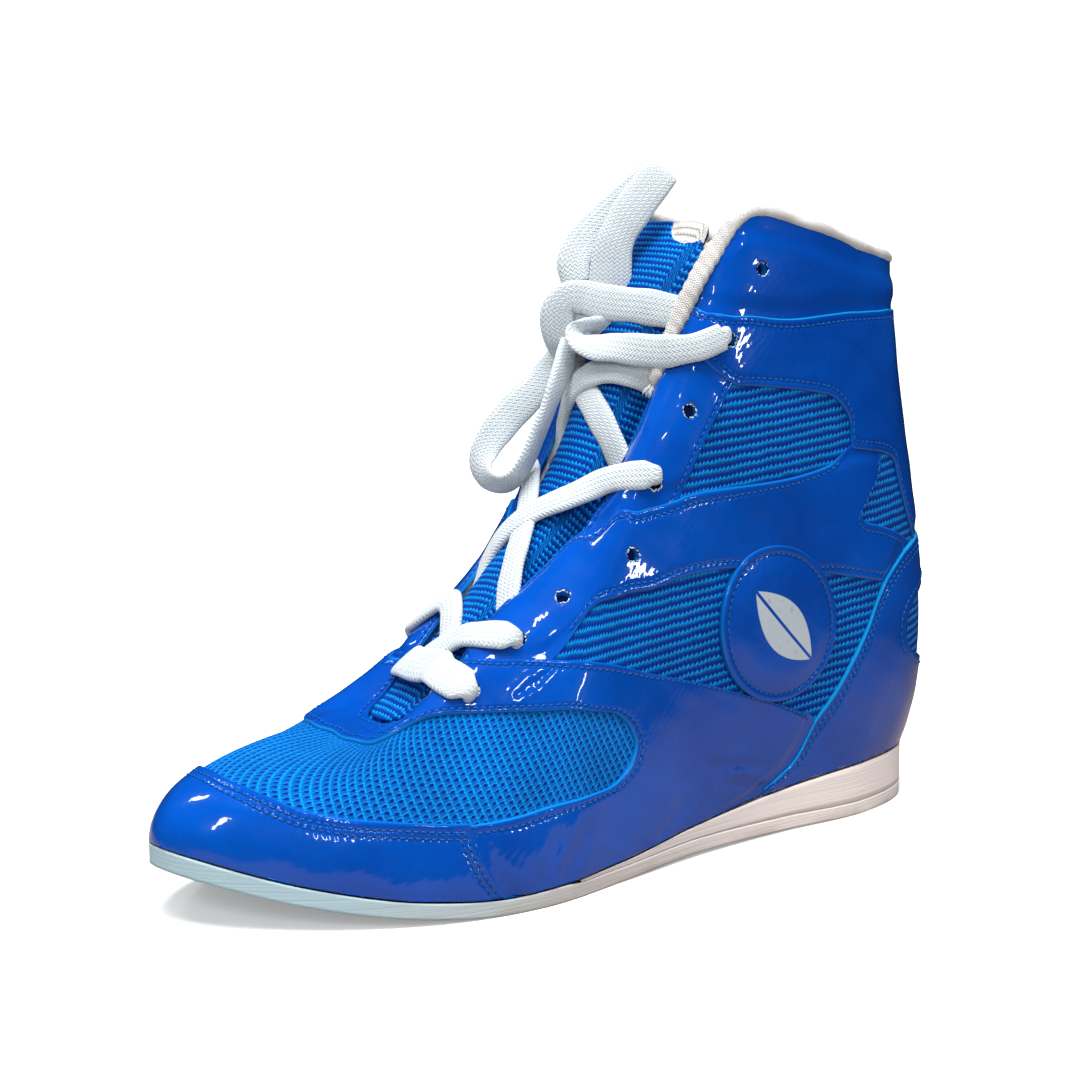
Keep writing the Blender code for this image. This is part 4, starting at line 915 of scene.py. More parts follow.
for name, node, table, ends, rows_between, double, ends_double, holed, glow in PANELS:
    mesh = panel(name, table, ends, rows_between, double, ends_double, glow)
    pieces[node] = place_piece(mesh, [patent], "patent", node)
    if holed:
        punch(pieces[node], bore_cutter)
bpy.data.objects.remove(bore_cutter)

# Window in the back of the counter: an oval round the heel through which the knit shows, sewn round its edge
WINDOW_MIDDLE, WINDOW_HALF = 0.285, (35.0, 0.098)


def fuller(wave, power):
    """A sine or cosine that draws a fuller oval than a plain ellipse."""
    return np.sign(wave) * np.abs(wave) ** power


spin = np.radians(np.linspace(0, 360, 121))[:, None]
oval_angle = WINDOW_HALF[0] * fuller(np.cos(spin), 0.7)
oval_height = WINDOW_HALF[1] * fuller(np.sin(spin), 0.8)
spread = np.array([0.0, 0.3, 0.6, 0.8, 1.0, 1.0, 0.8, 0.6, 0.3, 0.0])[None]
lifts = np.array([3.0, 3.0, 3.0, 3.0, 3.0, -2.2, -2.2, -2.2, -2.2, -2.2])[None]
cutter_points = upper_point(oval_angle * spread, WINDOW_MIDDLE + oval_height * spread, lifts)
cutter = new_object("counter_window", sheet("counter_window", cutter_points))
punch(pieces["heel_counter"], cutter)
bpy.data.objects.remove(cutter)
seam_angle, seam_height = oval_angle[:, 0] * 1.07, WINDOW_MIDDLE + oval_height[:, 0] * 1.12
line = upper_point(seam_angle, seam_height, 0.08)
seams.append((line, upper_normal(seam_angle, seam_height), run_length(line), np.ones(len(line), bool)))

# Badge: an oval of padded patent on the lateral window, sewn down inside its rim and printed with one
# plain pale leaf.
BADGE_MIDDLE = (66.6, 0.355)
BADGE_HALF = (11.0, 0.140)
BADGE_SLOPE = 0.0025
BADGE_LIFT = 0.75
PRINT_COLOUR = (0.50, 0.55, 0.60, 1.0)

badge_patent = patent.copy()
badge_patent.name = "badge_patent"
tree = badge_patent.node_tree
shader = tree.nodes["Principled BSDF"]
lay = add(tree, "UVMap", uv_map="lay").outputs[0]
turned = add(tree, "VectorRotate", {"Vector": lay, "Angle": np.radians(-40)}, rotation_type="Z_AXIS").outputs[0]
axes = add(tree, "SeparateXYZ", {0: turned})
along_leaf = calc(tree, "POWER", calc(tree, "DIVIDE", axes.outputs[0], 0.66), 2.0)
from_rib = calc(tree, "ABSOLUTE", axes.outputs[1])
leaf = calc(tree, "SUBTRACT", calc(tree, "MULTIPLY", calc(tree, "SUBTRACT", 1.0, along_leaf), 0.33), from_rib)
leaf = calc(tree, "MINIMUM", leaf, calc(tree, "SUBTRACT", from_rib, 0.022))
inked = ramp(tree, leaf, -0.006, 0.006)
inked = calc(tree, "MULTIPLY", inked, ramp(tree, noise(tree, 420.0, 4.0), 0.28, 0.40, 0.75, 1.0))
base = shader.inputs["Base Color"].links[0].from_socket
wire(shader, "Base Color", mix_colour(tree, inked, base, PRINT_COLOUR))

spin = np.radians(np.linspace(0, 360, 241))
to_rim = upper_point(
    BADGE_MIDDLE[0] + BADGE_HALF[0] * np.cos(spin),
    BADGE_MIDDLE[1] + BADGE_SLOPE * BADGE_HALF[0] * np.cos(spin) + BADGE_HALF[1] * np.sin(spin), 0.0)
radius = np.linalg.norm(to_rim - upper_point(*BADGE_MIDDLE, 0.0), axis=-1)
inset = np.concatenate([[-CUT_SLOPE, 0.0, 0.12, 0.35, 0.8, 1.4, 1.9, 2.4, 2.9, 3.4, 4.2, 5.2], np.zeros(12)])
spread = 1 - inset[None] / radius[:, None]
spread[:, 12:] = spread[:, 11:12] * np.linspace(1, 0, 13)[None, 1:]
inset = (1 - spread) * radius[:, None]
angle = BADGE_MIDDLE[0] + BADGE_HALF[0] * np.cos(spin)[:, None] * spread
height = BADGE_MIDDLE[1] + BADGE_SLOPE * (angle - BADGE_MIDDLE[0])
height = height + BADGE_HALF[1] * np.sin(spin)[:, None] * spread
flat = surface(angle, height)
along = run_length(flat[:, 7])
pitch = along[-1] / round(along[-1] / STITCH_PITCH)
needle = np.cos(np.pi * along / pitch)[:, None] ** 2
lift = BADGE_LIFT + 0.75 * ease(2.6, 9.0, inset) + 0.6 * swells(flat)
lift -= 0.30 * (1 - ease(0.0, 0.45, inset))
lift -= (0.22 + 0.26 * needle) * np.exp(-((inset - 2.4) / 0.6) ** 2)
lift[:, 0] = -0.9
lift[:, -1] = lift[0, -1]
normal = upper_normal(angle, height)
points = flat + normal * lift[..., None]
seams.append((points[:, 7], normal[:, 7], along, np.ones(len(along), bool)))
back = upper_point(angle[:, ::4], height[:, ::4], np.full(angle[:, ::4].shape, -0.9))[:, ::-1]
points = np.concatenate([points[:, ::-1], back[:, -2::-1]], axis=1)
lay = np.stack([np.cos(spin)[:, None] * spread, np.sin(spin)[:, None] * spread], axis=-1)
lay = np.concatenate([lay[:, ::-1], lay[:, 4::4] * 0 + 2.0], axis=1)
cut = 0.35 * (1 - ease(0.02, 0.3, inset))
cut = np.concatenate([cut[:, ::-1], cut[:, 4::4] * 0], axis=1)
points[:, 0] = points[0, 0]
points[:, -1] = points[0, -1]
badge_mesh = sheet("badge_oval", points, lay, values={"cut": cut})
place_piece(badge_mesh, [badge_patent], "patent", "badge")

# Stitches: twisted blue thread in lock stitch, about eleven to the inch, that holds the panels down on the
# knit. Each stitch dips into a needle hole at both ends.
THREAD_SIZE = (1.80, 0.62, 0.55)
NEEDLE_HOLE = (0.85, 0.62, 0.26)
THREAD_TONES = ((0.001, 0.050, 0.26, 1.0), (0.004, 0.130, 0.46, 1.0))
HOLE_SHADE_TONES = ((0.0, 0.008, 0.06, 1.0), (0.0, 0.02, 0.13, 1.0))

thread, tree, shader = start_material("sewing_thread")
twist = noise(tree, 2600.0, 1.0)
wire(shader, "Base Color", mix_colour(tree, ramp(tree, twist, 0.3, 0.7), *THREAD_TONES))
wire(shader, "Roughness", ramp(tree, twist, 0.2, 0.8, 0.3, 0.6))
# Needle holes: the small dark grains at the needle places are painted shade inside each hole, and the eyelets'
# dark discs use the same painted shade
hole_shade, tree, shader = start_material("needle_hole_shade")
wire(shader, "Base Color", mix_colour(tree, noise(tree, 1800.0), *HOLE_SHADE_TONES))
shader.inputs["Roughness"].default_value = 0.6


def strewn(name, rows, segments, rings, size=None, lift=0.0):
    """One mesh of many small rounded grains. Each row gives a grain's place, the way it lies along, the way out
    of the piece and, where there is no one size for all, its length, width and height."""
    rows = np.array(rows)
    along, out_way = rows[:, 3:6], rows[:, 6:9]
    centres = rows[:, :3] + out_way * lift
    sizes = rows[:, 9:] if size is None else np.broadcast_to(np.array(size), (len(rows), 3))
    bm = bmesh.new()
    bmesh.ops.create_uvsphere(bm, u_segments=segments, v_segments=rings, radius=0.5)
    grain = np.array([vert.co for vert in bm.verts])
    corners = [[vert.index for vert in face.verts] for face in bm.faces]
    bm.free()
    side = np.cross(out_way, along)
    spots = (
        centres[:, None]
        + grain[None, :, 2:3] * along[:, None] * sizes[:, None, 0:1]
        + grain[None, :, 0:1] * side[:, None] * sizes[:, None, 1:2]
        + grain[None, :, 1:2] * out_way[:, None] * sizes[:, None, 2:3]
    )
    every = [[corner + k * len(grain) for corner in face] for k in range(len(centres)) for face in corners]
    mesh = bpy.data.meshes.new(name)
    mesh.from_pydata(((spots.reshape(-1, 3) - MIDDLE) / 1000).tolist(), [], every)
    return mesh


def along_seam(values, along, place):
    """The value of a row of vectors at a place along its seam."""
    return np.array([np.interp(place, along, column) for column in values.T])


thread_rows, hole_rows = [], []
for line, out_way, along, inside in seams:
    for count in range(int(along[-1] / STITCH_PITCH)):
        for rows, place in ((thread_rows, (count + 0.5) * STITCH_PITCH), (hole_rows, count * STITCH_PITCH)):
            if np.interp(place, along, inside.astype(float)) < 0.99:
                continue
            spot = along_seam(line, along, place)
            way = unit(along_seam(line, along, place + 0.9) - along_seam(line, along, place - 0.9))
            outward = along_seam(out_way, along, place)
            outward = unit(outward - way * (outward @ way))
            rows.append(np.concatenate([spot, way, outward]))
place_piece(strewn("panel_stitches", thread_rows, 6, 5, THREAD_SIZE, 0.10), [thread], "patent")
# Painted shade in the needle holes
place_piece(strewn("needle_hole_shades", hole_rows, 6, 4, NEEDLE_HOLE, 0.01), [hole_shade], "patent")

# Eyelets: plain holes punched through patent, knit and lining, with torn white fibres round their rims.
# A dark disc closes each one behind the lining: painted shade standing in for the dark inside, not a piece of a
# real shoe.
FIBRES = 26
FIBRE_TONES = ((0.42, 0.47, 0.52, 1.0), (0.82, 0.82, 0.80, 1.0))
DISC_SIZE = (7.0, 7.0, 0.5)

fibre, tree, shader = start_material("torn_fibre")
wire(shader, "Base Color", mix_colour(tree, noise(tree, 1500.0), *FIBRE_TONES))
shader.inputs["Roughness"].default_value = 0.9

chance = np.random.RandomState(11)
fibre_rows, disc_rows = [], []
for side_angle, ring_height, axis in each_eyelet():
    middle = upper_point(side_angle, ring_height, 0.0)
    first = unit(np.cross(axis, (0.0, 0.0, 1.0)))
    second = np.cross(axis, first)
    disc_rows.append(np.concatenate([upper_point(side_angle, ring_height, -4.0), first, axis]))
    for count in range(FIBRES):
        spin = 2 * np.pi * (count + chance.uniform(-0.4, 0.4)) / FIBRES
        radial = first * np.cos(spin) + second * np.sin(spin)
        tangent = np.cross(axis, radial)
        reach = EYELET / 2 + chance.uniform(-0.35, 0.30)
        spot = middle + radial * reach + axis * chance.uniform(-0.55, 0.12)
        way = unit(tangent + radial * chance.uniform(-0.7, 0.7) + axis * chance.uniform(-0.3, 0.3))
        size = (chance.uniform(0.7, 1.5), chance.uniform(0.25, 0.55), chance.uniform(0.2, 0.4))
        fibre_rows.append(np.concatenate([spot, way, unit(axis - way * (axis @ way)), size]))
place_piece(strewn("eyelet_shade_discs", disc_rows, 16, 8, DISC_SIZE), [hole_shade], "lining_cloth")
place_piece(strewn("eyelet_fibres", fibre_rows, 5, 4), [fibre], "lining_cloth")

# Collar binding: the white knitted lining turned over the edge into a soft roll round the collar, thin at
# the back and broad down both front edges, where it ends raw and frayed under the top lace.
BINDING_FRONT = 103.0
FRAYS = 46

angle = np.linspace(BINDING_FRONT, -BINDING_FRONT, 561)
from_heel = np.abs(angle)
broad = ease(74, 87, from_heel)
edge_line = surface(angle, 1.0)
along = unit(np.gradient(edge_line, axis=0))
out_way = upper_normal(angle, np.full_like(angle, 0.985))
out_way = unit(out_way - along * np.sum(out_way * along, axis=1)[:, None])
beyond = np.cross(out_way, along)
beyond *= np.sign(np.sum(beyond * (edge_line - surface(angle, 0.97)), axis=1))[:, None]
length = run_length(edge_line)
wide = ease(78, 93, from_heel)
pucker = 0.06 * np.sin(length / 1.15) + 0.16 * np.sin(length / 4.3 + 2 * np.sin(length / 17.0))
high = (1.85 + 2.5 * wide + pucker)[:, None]
deep = (1.75 + 0.25 * broad + 0.5 * wide + 0.6 * pucker)[:, None]
ragged = ease(BINDING_FRONT, BINDING_FRONT - 1.2, from_heel)[:, None]
middle = edge_line + out_way * (-1.9 + 1.2 * broad + 0.9 * wide)[:, None] - beyond * (0.2 + 1.7 * wide)[:, None]
turn = np.radians(np.linspace(0, 360, 25))[None]
wrung = 1 + 0.05 * (0.4 + broad[:, None]) * np.sin(length[:, None] * 1.9 + 2.0 * turn)
high, deep = high * wrung, deep * wrung
points = (
    middle[:, None]
    + beyond[:, None] * (np.cos(turn) * high * (0.55 + 0.45 * ragged))[..., None]
    + out_way[:, None] * (np.sin(turn) * deep * (0.5 + 0.5 * ragged))[..., None]
)
binding_mesh = sheet("collar_roll", points, joined(length[:, None], turn * 2.4))
place_piece(binding_mesh, [lining_knit], "lining_cloth", "collar_binding")

fray_rows = []
for side in (1, -1):
    end = np.argmin(np.abs(angle - side * BINDING_FRONT))
    for count in range(FRAYS):
        spot = middle[end] + beyond[end] * chance.uniform(-2.4, 2.4) + out_way[end] * chance.uniform(-1.2, 1.3)
        way = along[end] * -side + beyond[end] * chance.uniform(-0.6, 0.6)
        way = unit(way + out_way[end] * chance.uniform(-0.4, 0.6))
        size = (chance.uniform(2.0, 5.0), chance.uniform(0.25, 0.5), chance.uniform(0.25, 0.5))
        across = unit(out_way[end] - way * (out_way[end] @ way))
        fray_rows.append(np.concatenate([spot + way * size[0] * 0.3, way, across, size]))
place_piece(strewn("collar_fray", fray_rows, 5, 4), [fibre], "lining_cloth")

# Tongue: thin foam between rib knit and white lining, sewn in at the foot of the throat. Its sides lie
# under the eyestays, and at the free top the knit stops short, so that the lining curls up past it.
TONGUE_THICK = 2.8
TONGUE_DROP = 6.6
TONGUE_SPREAD = 1.28
TONGUE_TOP = 80.6
TONGUE_ROWS, TONGUE_FACE, TONGUE_BACK = 230, 85, 40
STAY_STEP = 0.5
LINING_TONES = ((0.70, 0.685, 0.66, 1.0), (0.54, 0.52, 0.50, 1.0))

# Crown above the throat edges: ring angle, height
CROWN = np.array([
    (70, 0.5), (80, 0.5), (86, 1.5), (90, 4.5), (95, 7.0), (104, 7.5), (114, 6.5), (124, 4.0), (136, 2.0),
    (150, 1.5), (165, 0.5), (180, 0.0),
])


def instep(angle, across, lift):
    """A point over the throat and the normal there: across is 1 at the lateral edge and -1 at the medial one;
    beyond, it runs down the stay."""
    angle, across, lift = (np.asarray(value, float) for value in (angle, across, lift))

    def spot(angle, across):
        lateral = surface(angle, 1.0)
        medial = surface(360 - angle, 1.0)
        slope = surface(angle + 1, 1.0) + surface(359 - angle, 1.0)
        slope = slope - surface(angle - 1, 1.0) - surface(361 - angle, 1.0)
        rise = unit(np.stack([-slope[..., 2], np.zeros_like(angle), slope[..., 0]], axis=-1))
        crown = smooth(CROWN[:, 0], CROWN[:, 1:], angle)
        inside = np.clip(across, -1, 1)[..., None]
        point = (lateral + medial) / 2 + inside * (lateral - medial) / 2 + rise * crown * (1 - inside ** 2)
        down = 1 - np.maximum(np.abs(across) - 1, 0) * STAY_STEP
        stay = surface(np.where(across > 0, angle, 360 - angle), down)
        return np.where((np.abs(across) > 1)[..., None], stay, point)

    up_way = spot(angle - 1.0, across) - spot(angle + 1.0, across)
    out_way = spot(angle, across + 0.06) - spot(angle, across - 0.06)
    normal = unit(np.cross(up_way, -out_way))
    return spot(angle, across) + normal * lift[..., None], normal


tongue_cloth = knit_material("tongue_knit", None, 1.2)
tree = tongue_cloth.node_tree
shader = tree.nodes["Principled BSDF"]
across, along = lay_axes(tree)[:2]
white = mix_colour(tree, ramp(tree, lining_thread(tree, along, across), -1.0, 0.6), *LINING_TONES[::-1])
bare = ramp(tree, add(tree, "Attribute", attribute_name="bare").outputs["Fac"], 0.45, 0.55)
base = shader.inputs["Base Color"].links[0].from_socket
wire(shader, "Base Color", mix_colour(tree, bare, base, white))

part = np.linspace(0, 1, TONGUE_ROWS)
side_way = np.concatenate([np.linspace(-1, 1, TONGUE_FACE), np.linspace(1, -1, TONGUE_BACK)])
on_face = np.arange(len(side_way)) < TONGUE_FACE
across = np.broadcast_to(side_way[None] * TONGUE_SPREAD, (len(part), len(side_way)))
top = TONGUE_TOP + 4.9 * ease(0.58, 0.72, across)
angle = 176 + (top - 176) * part[:, None]
fold = ((across - 0.46) / 0.36) ** 2 + ((angle - 80.6) / 4.6) ** 2
bare = np.clip(0.5 + (1 - fold) * 1.6, 0, 1)
bare = np.where(on_face[None], bare, np.clip(0.5 + (angle - TONGUE_TOP - 2.0) * 0.8, 0, 1))
tip = np.clip((1 - part) / 0.008, 0, 1)[:, None]
round_tip = np.sqrt(np.clip(1 - (1 - tip) ** 2, 0.02, 1))
round_side = np.sqrt(np.clip(1 - np.abs(side_way[None]) ** 30, 0.02, 1))
thick = TONGUE_THICK * round_tip * round_side
foot = ease(136, 152, angle)
sink = -TONGUE_DROP * (1 - 0.6 * foot) * np.minimum(np.abs(across), 1.0) ** (4 + 12 * foot) + 1.0 * foot
puffed = 1.9 * np.clip(1 - fold, 0, 1) - 1.1 * ease(0.35, 0.6, bare)
sink = sink - (TONGUE_THICK - thick) / 2 + puffed * on_face[None]
lift = np.where(on_face[None], sink, sink - thick)
points = instep(angle, across, lift)[0]
lay_across = run_length(points, 1)
middle_line = np.s_[:, TONGUE_FACE // 2:TONGUE_FACE // 2 + 1]
lay = joined(lay_across - lay_across[middle_line], run_length(points)[middle_line])
points, lay, bare = [np.concatenate([grid, grid[:, :1]], axis=1) for grid in (points, lay, bare)]
tongue_mesh = sheet("tongue_pad", points, lay, values={"bare": bare})
tongue = place_piece(tongue_mesh, [tongue_cloth], "tongue_cloth", "tongue")

# Lace: one flat white braid, drawn through the second, fifth and seventh eyelets of both sides and through
# the first of the outer side. It is narrower where it is pulled tight and bends down through its holes.
LACE_THICK = 3.1
LACE_TIGHT = 5.4
# The braid is white; the blue tint in both colours is a painted reflection of the blue upper
BRAID_LIGHT = (0.55, 0.60, 0.63, 1.0)
BRAID_SHADE = (0.47, 0.53, 0.57, 1.0)
BRAID_ROW = 1.3
BRAID_COLUMN = 1.7
CENTRE_ROUNDS, NORMAL_ROUNDS = 250, 1800
HOLE_BEND = 2.0
BEND_POINTS, FALL_POINTS = 9, 6

# Straps: ring angle, place across, lift
STRAP_FIRST = np.array([
    (130.8, 1.76, 1.7), (134.9, 1.63, 2.3), (139.2, 1.46, 3.1), (143.8, 1.10, 4.4), (146.0, 0.70, 5.2),
    (146.1, 0.35, 5.5), (146.1, 0.00, 5.6), (146.0, -0.35, 5.3), (145.4, -0.70, 4.0), (144.4, -0.92, 1.0),
    (143.6, -1.06, -4.0),
])
STRAP_SECOND = np.array([
    (125.9, 1.56, 1.7), (130.5, 1.44, 2.0), (135.0, 1.30, 2.3), (138.5, 1.12, 2.5), (140.2, 0.80, 2.2),
    (141.0, 0.50, 1.9), (143.0, 0.20, 1.7), (144.0, -0.10, 1.4), (145.0, -0.50, 0.4), (145.8, -0.92, -2.0),
    (146.2, -1.10, -4.2),
])
STRAP_SECOND_UNDER = np.array([
    (125.9, -1.56, 1.6), (129.5, -1.38, 1.6), (132.2, -1.12, 1.7), (134.2, -0.80, 1.7), (135.4, -0.45, 1.6),
    (137.4, -0.10, 1.2), (140.0, 0.22, 0.4), (142.0, 0.40, -1.2), (144.0, 0.52, -3.6),
])
STRAP_FIFTH = np.array([
    (95.5, 1.60, 1.7), (103.0, 1.43, 2.0), (110.5, 1.18, 3.0), (117.2, 0.74, 2.6), (121.0, 0.10, 3.1),
    (123.5, -0.40, 2.5), (126.0, -0.75, 1.4), (127.4, -0.95, -1.4), (128.4, -1.12, -4.4),
])
STRAP_FIFTH_UNDER = np.array([
    (95.5, -1.60, 1.7), (103.0, -1.43, 2.0), (110.5, -1.18, 3.0), (116.5, -0.74, 2.2), (121.0, -0.10, 1.5),
    (126.0, 0.34, 1.5), (131.0, 0.70, 1.2), (132.6, 0.93, -1.4), (133.4, 1.10, -4.4),
])
STRAP_UPPER = np.array([
    (109.0, -1.12, -4.6), (108.0, -0.95, -1.4), (107.0, -0.72, 1.9), (104.5, -0.30, 3.1), (102.4, 0.10, 3.1),
    (101.8, 0.72, 1.7), (101.7, 0.95, -1.4), (101.6, 1.12, -4.6),
])
STRAP_UPPER_UNDER = np.array([
    (112.4, 1.12, -4.6), (111.4, 0.96, -1.6), (110.0, 0.78, 1.2), (107.5, 0.40, 1.5), (104.6, -0.15, 1.4),
    (103.0, -0.72, 1.2), (102.4, -0.95, -1.6), (102.0, -1.12, -4.6),
])
STRAP_TOP_MEDIAL = np.array([
    (99.2, -0.20, 4.0), (99.2, -0.40, 4.4), (98.0, -0.92, 3.2), (91.5, -1.25, 1.7), (86.0, -1.35, 1.5),
    (80.5, -1.37, 1.4),
])
STRAP_TOP_START = np.array([(80.5, 1.37, 1.4), (86.0, 1.35, 1.7)])

# Strands of the bow: x, y, z, turn of the flat's width from level, lean of that width to the front, width
TOP_CURL = np.array([
    (122.0, 29.3, 156.5, -88, 0, 9.6), (123.9, 24.2, 156.0, -88, 0, 10.4), (126.8, 17.8, 156.3, -90, 5, 11.2),
    (129.9, 10.6, 156.7, -94, 22, 11.6), (132.0, 3.6, 156.7, -98, 42, 11.8), (132.9, -2.2, 158.0, -110, 54, 11.4),
    (131.9, -5.5, 159.9, -160, 58, 10.4), (129.0, -5.7, 161.7, -230, 56, 9.6), (125.3, -3.8, 162.3, -262, 48, 9.0),
    (121.8, -1.3, 162.0, -268, 40, 8.5),
])
LOOP_HANGING = np.array([
    (128.3, -15.1, 158.4, -50, 15, 8.5), (131.1, -16.4, 151.5, -46, 8, 9.5), (136.1, -18.2, 145.0, -44, 5, 10.2),
    (143.0, -21.0, 137.9, -43, 5, 10.5), (148.5, -23.5, 131.4, -42, 8, 10.5), (152.8, -25.7, 124.5, -25, 25, 10.2),
    (154.8, -25.5, 119.3, 5, 45, 9.6), (154.9, -22.2, 115.2, 45, 56, 9.2), (153.5, -16.7, 114.0, 90, 60, 9.0),
    (151.9, -11.7, 116.3, 130, 60, 9.0), (149.9, -8.7, 121.4, 152, 62, 9.0), (147.1, -7.3, 128.6, 158, 62, 9.0),
    (143.8, -6.5, 136.2, 159, 62, 9.0), (140.6, -6.3, 143.5, 158, 58, 9.0), (136.1, -8.0, 150.3, 157, 50, 9.0),
    (131.3, -10.7, 156.6, 155, 40, 8.5),
])
LOOP_UPRIGHT = np.array([
    (121.3, -3.1, 173.7, -5, 0, 13.0), (120.8, -3.3, 180.5, -8, 0, 13.0), (119.6, -3.4, 187.3, -15, 0, 12.0),
    (116.1, -2.4, 194.7, -28, 0, 12.0), (111.5, -0.8, 201.4, -36, 0, 12.0), (107.2, 0.2, 206.7, -40, 0, 12.0),
    (104.1, 0.4, 209.8, -41, 0, 12.0), (102.6, -0.9, 210.4, -41, 0, 12.0), (103.3, -2.9, 208.9, -41, 0, 12.0),
    (107.3, -5.4, 204.8, -40, 0, 12.0), (112.2, -8.0, 200.2, -38, 0, 12.0), (118.0, -10.6, 194.6, -30, 4, 12.0),
    (123.4, -12.9, 188.6, -18, 10, 11.5), (127.2, -13.8, 182.5, -8, 15, 11.0), (127.6, -12.4, 176.0, 0, 20, 10.0),
])
END_TUCKED = np.array([
    (130.5, -13.2, 153.0, 4, 0, 8.0), (133.8, -12.7, 158.1, -3, 0, 9.5), (135.0, -12.7, 163.4, -8, 0, 10.3),
    (134.6, -12.3, 168.4, -25, 0, 10.3), (132.0, -10.5, 171.5, -55, 0, 9.8), (128.4, -7.6, 171.5, -80, 0, 10.2),
    (125.6, -3.6, 170.4, -90, 0, 11.0), (123.1, 2.2, 169.6, -91, 0, 11.2), (120.8, 9.1, 169.2, -92, 0, 11.2),
    (117.8, 15.0, 168.4, -93, 0, 11.0), (113.9, 19.7, 167.3, -94, 0, 10.5), (108.9, 22.5, 165.7, -95, 0, 9.5),
    (103.1, 24.1, 164.1, -95, 0, 9.0),
])
FRONT_RIGHT = np.array([-0.8192, 0.5736, 0.0])
FRONT_UP = np.array([-0.0838, -0.1197, 0.9893])
FRONT_NEAR = np.array([0.5674, 0.8104, 0.1461])

braid, tree, shader = start_material("flat_braid")
axes = lay_axes(tree)
zig = calc(tree, "PINGPONG", axes[1], BRAID_COLUMN / 2)
slant = calc(tree, "MULTIPLY_ADD", zig, 1.25, axes[0])
plait = calc(tree, "SINE", calc(tree, "MULTIPLY", slant, 2 * np.pi / BRAID_ROW))
ridge = calc(tree, "COSINE", calc(tree, "MULTIPLY", axes[1], 2 * np.pi / BRAID_COLUMN))
weave = calc(tree, "MULTIPLY_ADD", ridge, 0.45, plait)
fuzz = noise(tree, 1700.0)
colour = mix_colour(tree, ramp(tree, weave, -1.3, 0.5), BRAID_SHADE, BRAID_LIGHT)
shade = ramp(tree, noise(tree, 120.0, 4.0), 0.25, 0.75, 0.93, 1.04)
wire(shader, "Base Color", mix_colour(tree, 1.0, colour, shade, "MULTIPLY"))
wire(shader, "Roughness", ramp(tree, fuzz, 0.2, 0.8, 0.75, 0.95))
shader.inputs["Sheen Weight"].default_value = 0.25
bump(tree, shader, 0.42, 0.00028, calc(tree, "MULTIPLY_ADD", fuzz, 0.5, weave))


def lace_strand(name, centre, side, widths, *nodes):
    """Flat braid with rounded edges along a line of centres, its width along side."""
    along = unit(np.gradient(centre, axis=0))
    side = unit(side - along * np.sum(side * along, axis=1)[:, None])
    face = np.cross(along, side)
    turn = np.radians(np.linspace(0, 360, 25))
    wide, tall = fuller(np.cos(turn), 0.72), fuller(np.sin(turn), 0.9)
    length = run_length(centre)
    uneven = 1 + 0.025 * np.sin(length / 3.7) + 0.02 * np.sin(length / 1.9 + 1.0)
    half = (widths * uneven / 2)[:, None]
    thick = (LACE_THICK / 2 * (1 + 0.4 * (1 - np.minimum(widths / 8.4, 1.0))))[:, None]
    points = centre[:, None] + side[:, None] * (wide * half)[..., None]
    points = points + face[:, None] * (tall * thick)[..., None]
    return place_piece(sheet(name, points, joined(length[:, None], wide * half)), [braid], "lace", *nodes)


def strap_line(rows, count=110):
    """Centres, widthwise directions and normals over the instep, eased over the throat edges."""
    knots = np.arange(len(rows), dtype=float)
    path = smooth(knots, rows, np.linspace(0, knots[-1], count))
    centre, normal = instep(*path.T)
    length = run_length(centre)
    even = np.linspace(0, length[-1], count)
    centre, normal = [
        np.stack([np.interp(even, length, column) for column in line.T], axis=1) for line in (centre, normal)]
    for line, rounds in ((centre, CENTRE_ROUNDS), (normal, NORMAL_ROUNDS)):
        for step in range(rounds):
            line[1:-1] = (line[:-2] + 2 * line[1:-1] + line[2:]) / 4
    along = unit(np.gradient(centre, axis=0))
    return centre, unit(np.cross(unit(normal), along)), unit(normal)


def down_hole(centre, side, normal):
    """A strand carried on at its end, bent down through the eyelet there, with its directions."""
    ahead = unit(centre[-1] - centre[-4])
    turn = np.radians(np.linspace(10, 90, BEND_POINTS))[:, None]
    curve = centre[-1] + HOLE_BEND * np.sin(turn) * ahead - HOLE_BEND * (1 - np.cos(turn)) * normal[-1]
    fall = curve[-1] - np.linspace(0.6, 3.6, FALL_POINTS)[:, None] * normal[-1]
    more = BEND_POINTS + FALL_POINTS
    carried = [np.concatenate([way, np.repeat(way[-1:], more, axis=0)]) for way in (side, normal)]
    return np.concatenate([centre, curve, fall]), *carried


def strap(name, rows, wide, first_hole, last_hole, *nodes):
    """Strand over the instep that goes down an eyelet at either end, or slips under the edge there."""
    line = strap_line(rows)
    if last_hole:
        line = down_hole(*line)
    if first_hole:
        line = [part[::-1] for part in down_hole(*[part[::-1] for part in line])]
    centre, side, normal = line
    length = run_length(centre)
    widths = np.full(len(centre), wide)
    if first_hole:
        widths = np.minimum(widths, LACE_TIGHT + (wide - LACE_TIGHT) * ease(4.0, 9.0, length))
    if last_hole:
        widths = np.minimum(widths, LACE_TIGHT + (wide - LACE_TIGHT) * ease(4.0, 9.0, length[-1] - length))
    lace_strand(name, centre, side, widths, *nodes)


def bow_line(rows, count):
    """Centres, widthwise directions and widths of a strand of the bow."""
    knots = np.arange(len(rows), dtype=float)
    path = smooth(knots, rows, np.linspace(0, knots[-1], count))
    turn, lean = np.radians(path[:, 3:4]), np.radians(path[:, 4:5])
    level_way = FRONT_RIGHT * np.cos(turn) + FRONT_UP * np.sin(turn)
    return path[:, :3], level_way * np.cos(lean) + FRONT_NEAR * np.sin(lean), path[:, 5]


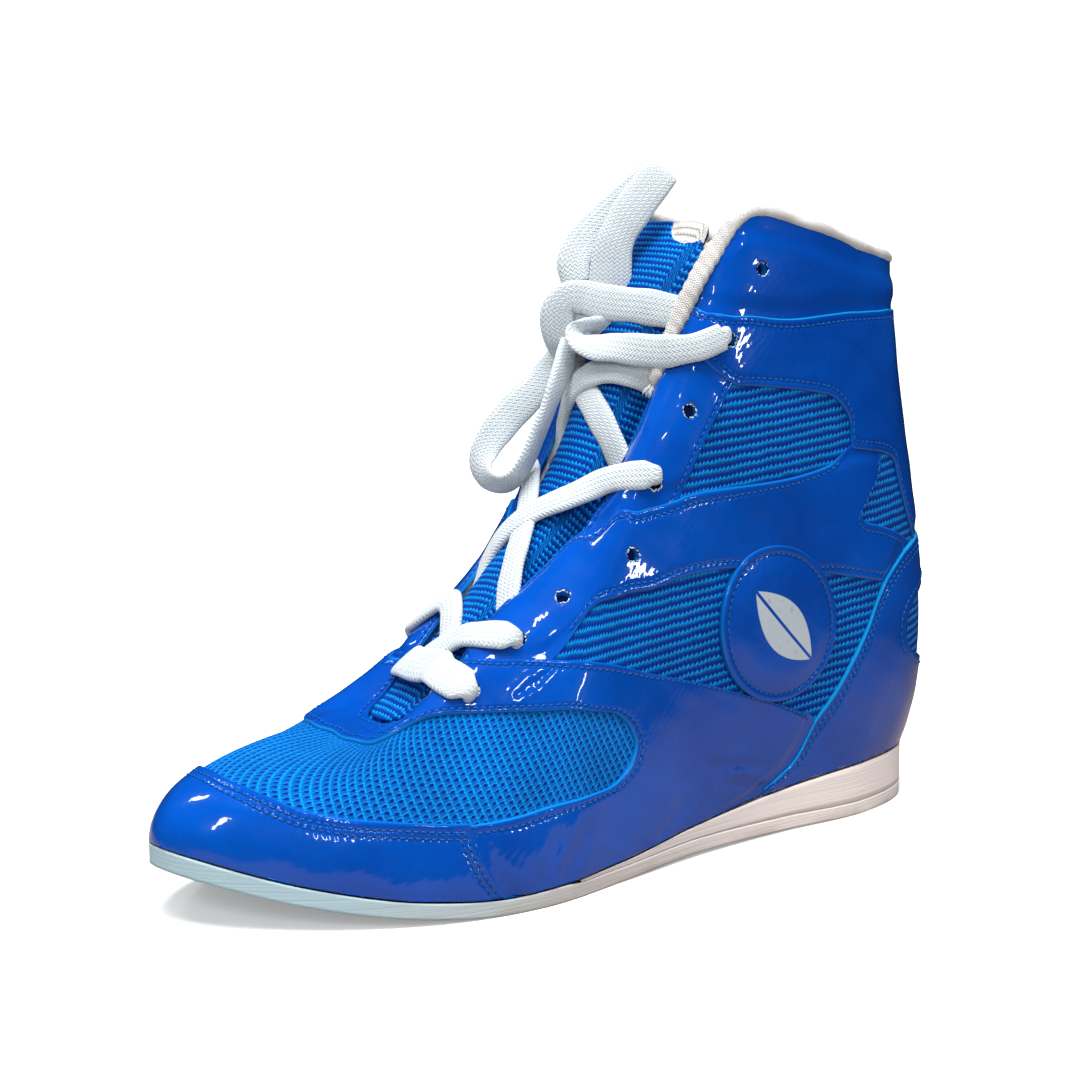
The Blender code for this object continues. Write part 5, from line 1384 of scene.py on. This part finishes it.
strap("lace_first_bar", STRAP_FIRST, 12.0, True, False, "lace_crossing_lower")
strap("lace_second", STRAP_SECOND, 9.8, True, False)
strap("lace_second_medial", STRAP_SECOND_UNDER, 8.6, True, False)
strap("lace_fifth", STRAP_FIFTH, 9.0, True, False, "lace_crossing_middle")
strap("lace_fifth_medial", STRAP_FIFTH_UNDER, 9.0, True, False)
strap("lace_sixth", STRAP_UPPER, 9.0, False, False, "lace_crossing_upper")
strap("lace_sixth_under", STRAP_UPPER_UNDER, 9.0, False, False)
strap("lace_top_medial", STRAP_TOP_MEDIAL, 9.0, False, True)

start_centre = instep(*STRAP_TOP_START.T)[0]
rows = np.concatenate([np.concatenate([start_centre, [[-88, 0, 8.4], [-88, 0, 8.8]]], axis=1), TOP_CURL])
centre, side, widths = bow_line(rows, 150)
normal = unit(np.cross(np.gradient(centre, axis=0), side))
normal *= np.sign(np.sum(normal * FRONT_NEAR, axis=1))[:, None]
centre, side, normal = [part[::-1] for part in down_hole(centre[::-1], side[::-1], normal[::-1])]
length = run_length(centre)
widths = np.concatenate([np.full(BEND_POINTS + FALL_POINTS, LACE_TIGHT), widths])
widths = np.minimum(widths, LACE_TIGHT + 4.6 * ease(3.5, 8.0, length))
lace_strand("lace_top_lateral", centre, side, widths, "lace_bar_top")


def bow_strand(name, rows, count, *nodes):
    """A strand of the bow, a free cord that goes back into the knot or under the collar."""
    centre, side, widths = bow_line(rows, count)
    made = lace_strand(name, centre, side, widths, *nodes)
    route = (centre - MIDDLE) / 1000
    tuple(route[0])
    float(run_length(route)[-1])
    [tuple(point) for point in route]


# A plain ball fills the knot and shows between its strands and from the medial side
KNOT_MIDDLE, KNOT_HALF = np.array([124.6, -11.4, 162.2]), np.array([5.6, 5.8, 7.4])
spin = np.radians(np.linspace(0, 360, 33))[:, None]
lean = np.radians(np.linspace(-90, 90, 17))[None]
ball = joined(np.cos(spin) * np.cos(lean), np.sin(spin) * np.cos(lean), np.sin(lean))
ball_mesh = sheet("lace_knot_inside", KNOT_MIDDLE + KNOT_HALF * ball, joined(spin * 7.0, lean * 7.0))
place_piece(ball_mesh, [braid], "lace")

bow_strand("lace_loop_hanging_braid", LOOP_HANGING, 170, "lace_loop_hanging")
bow_strand("lace_loop_upright_braid", LOOP_UPRIGHT, 170, "lace_loop_upright")
bow_strand("lace_knot_and_end", END_TUCKED, 150, "lace_end_tucked", "lace_knot")
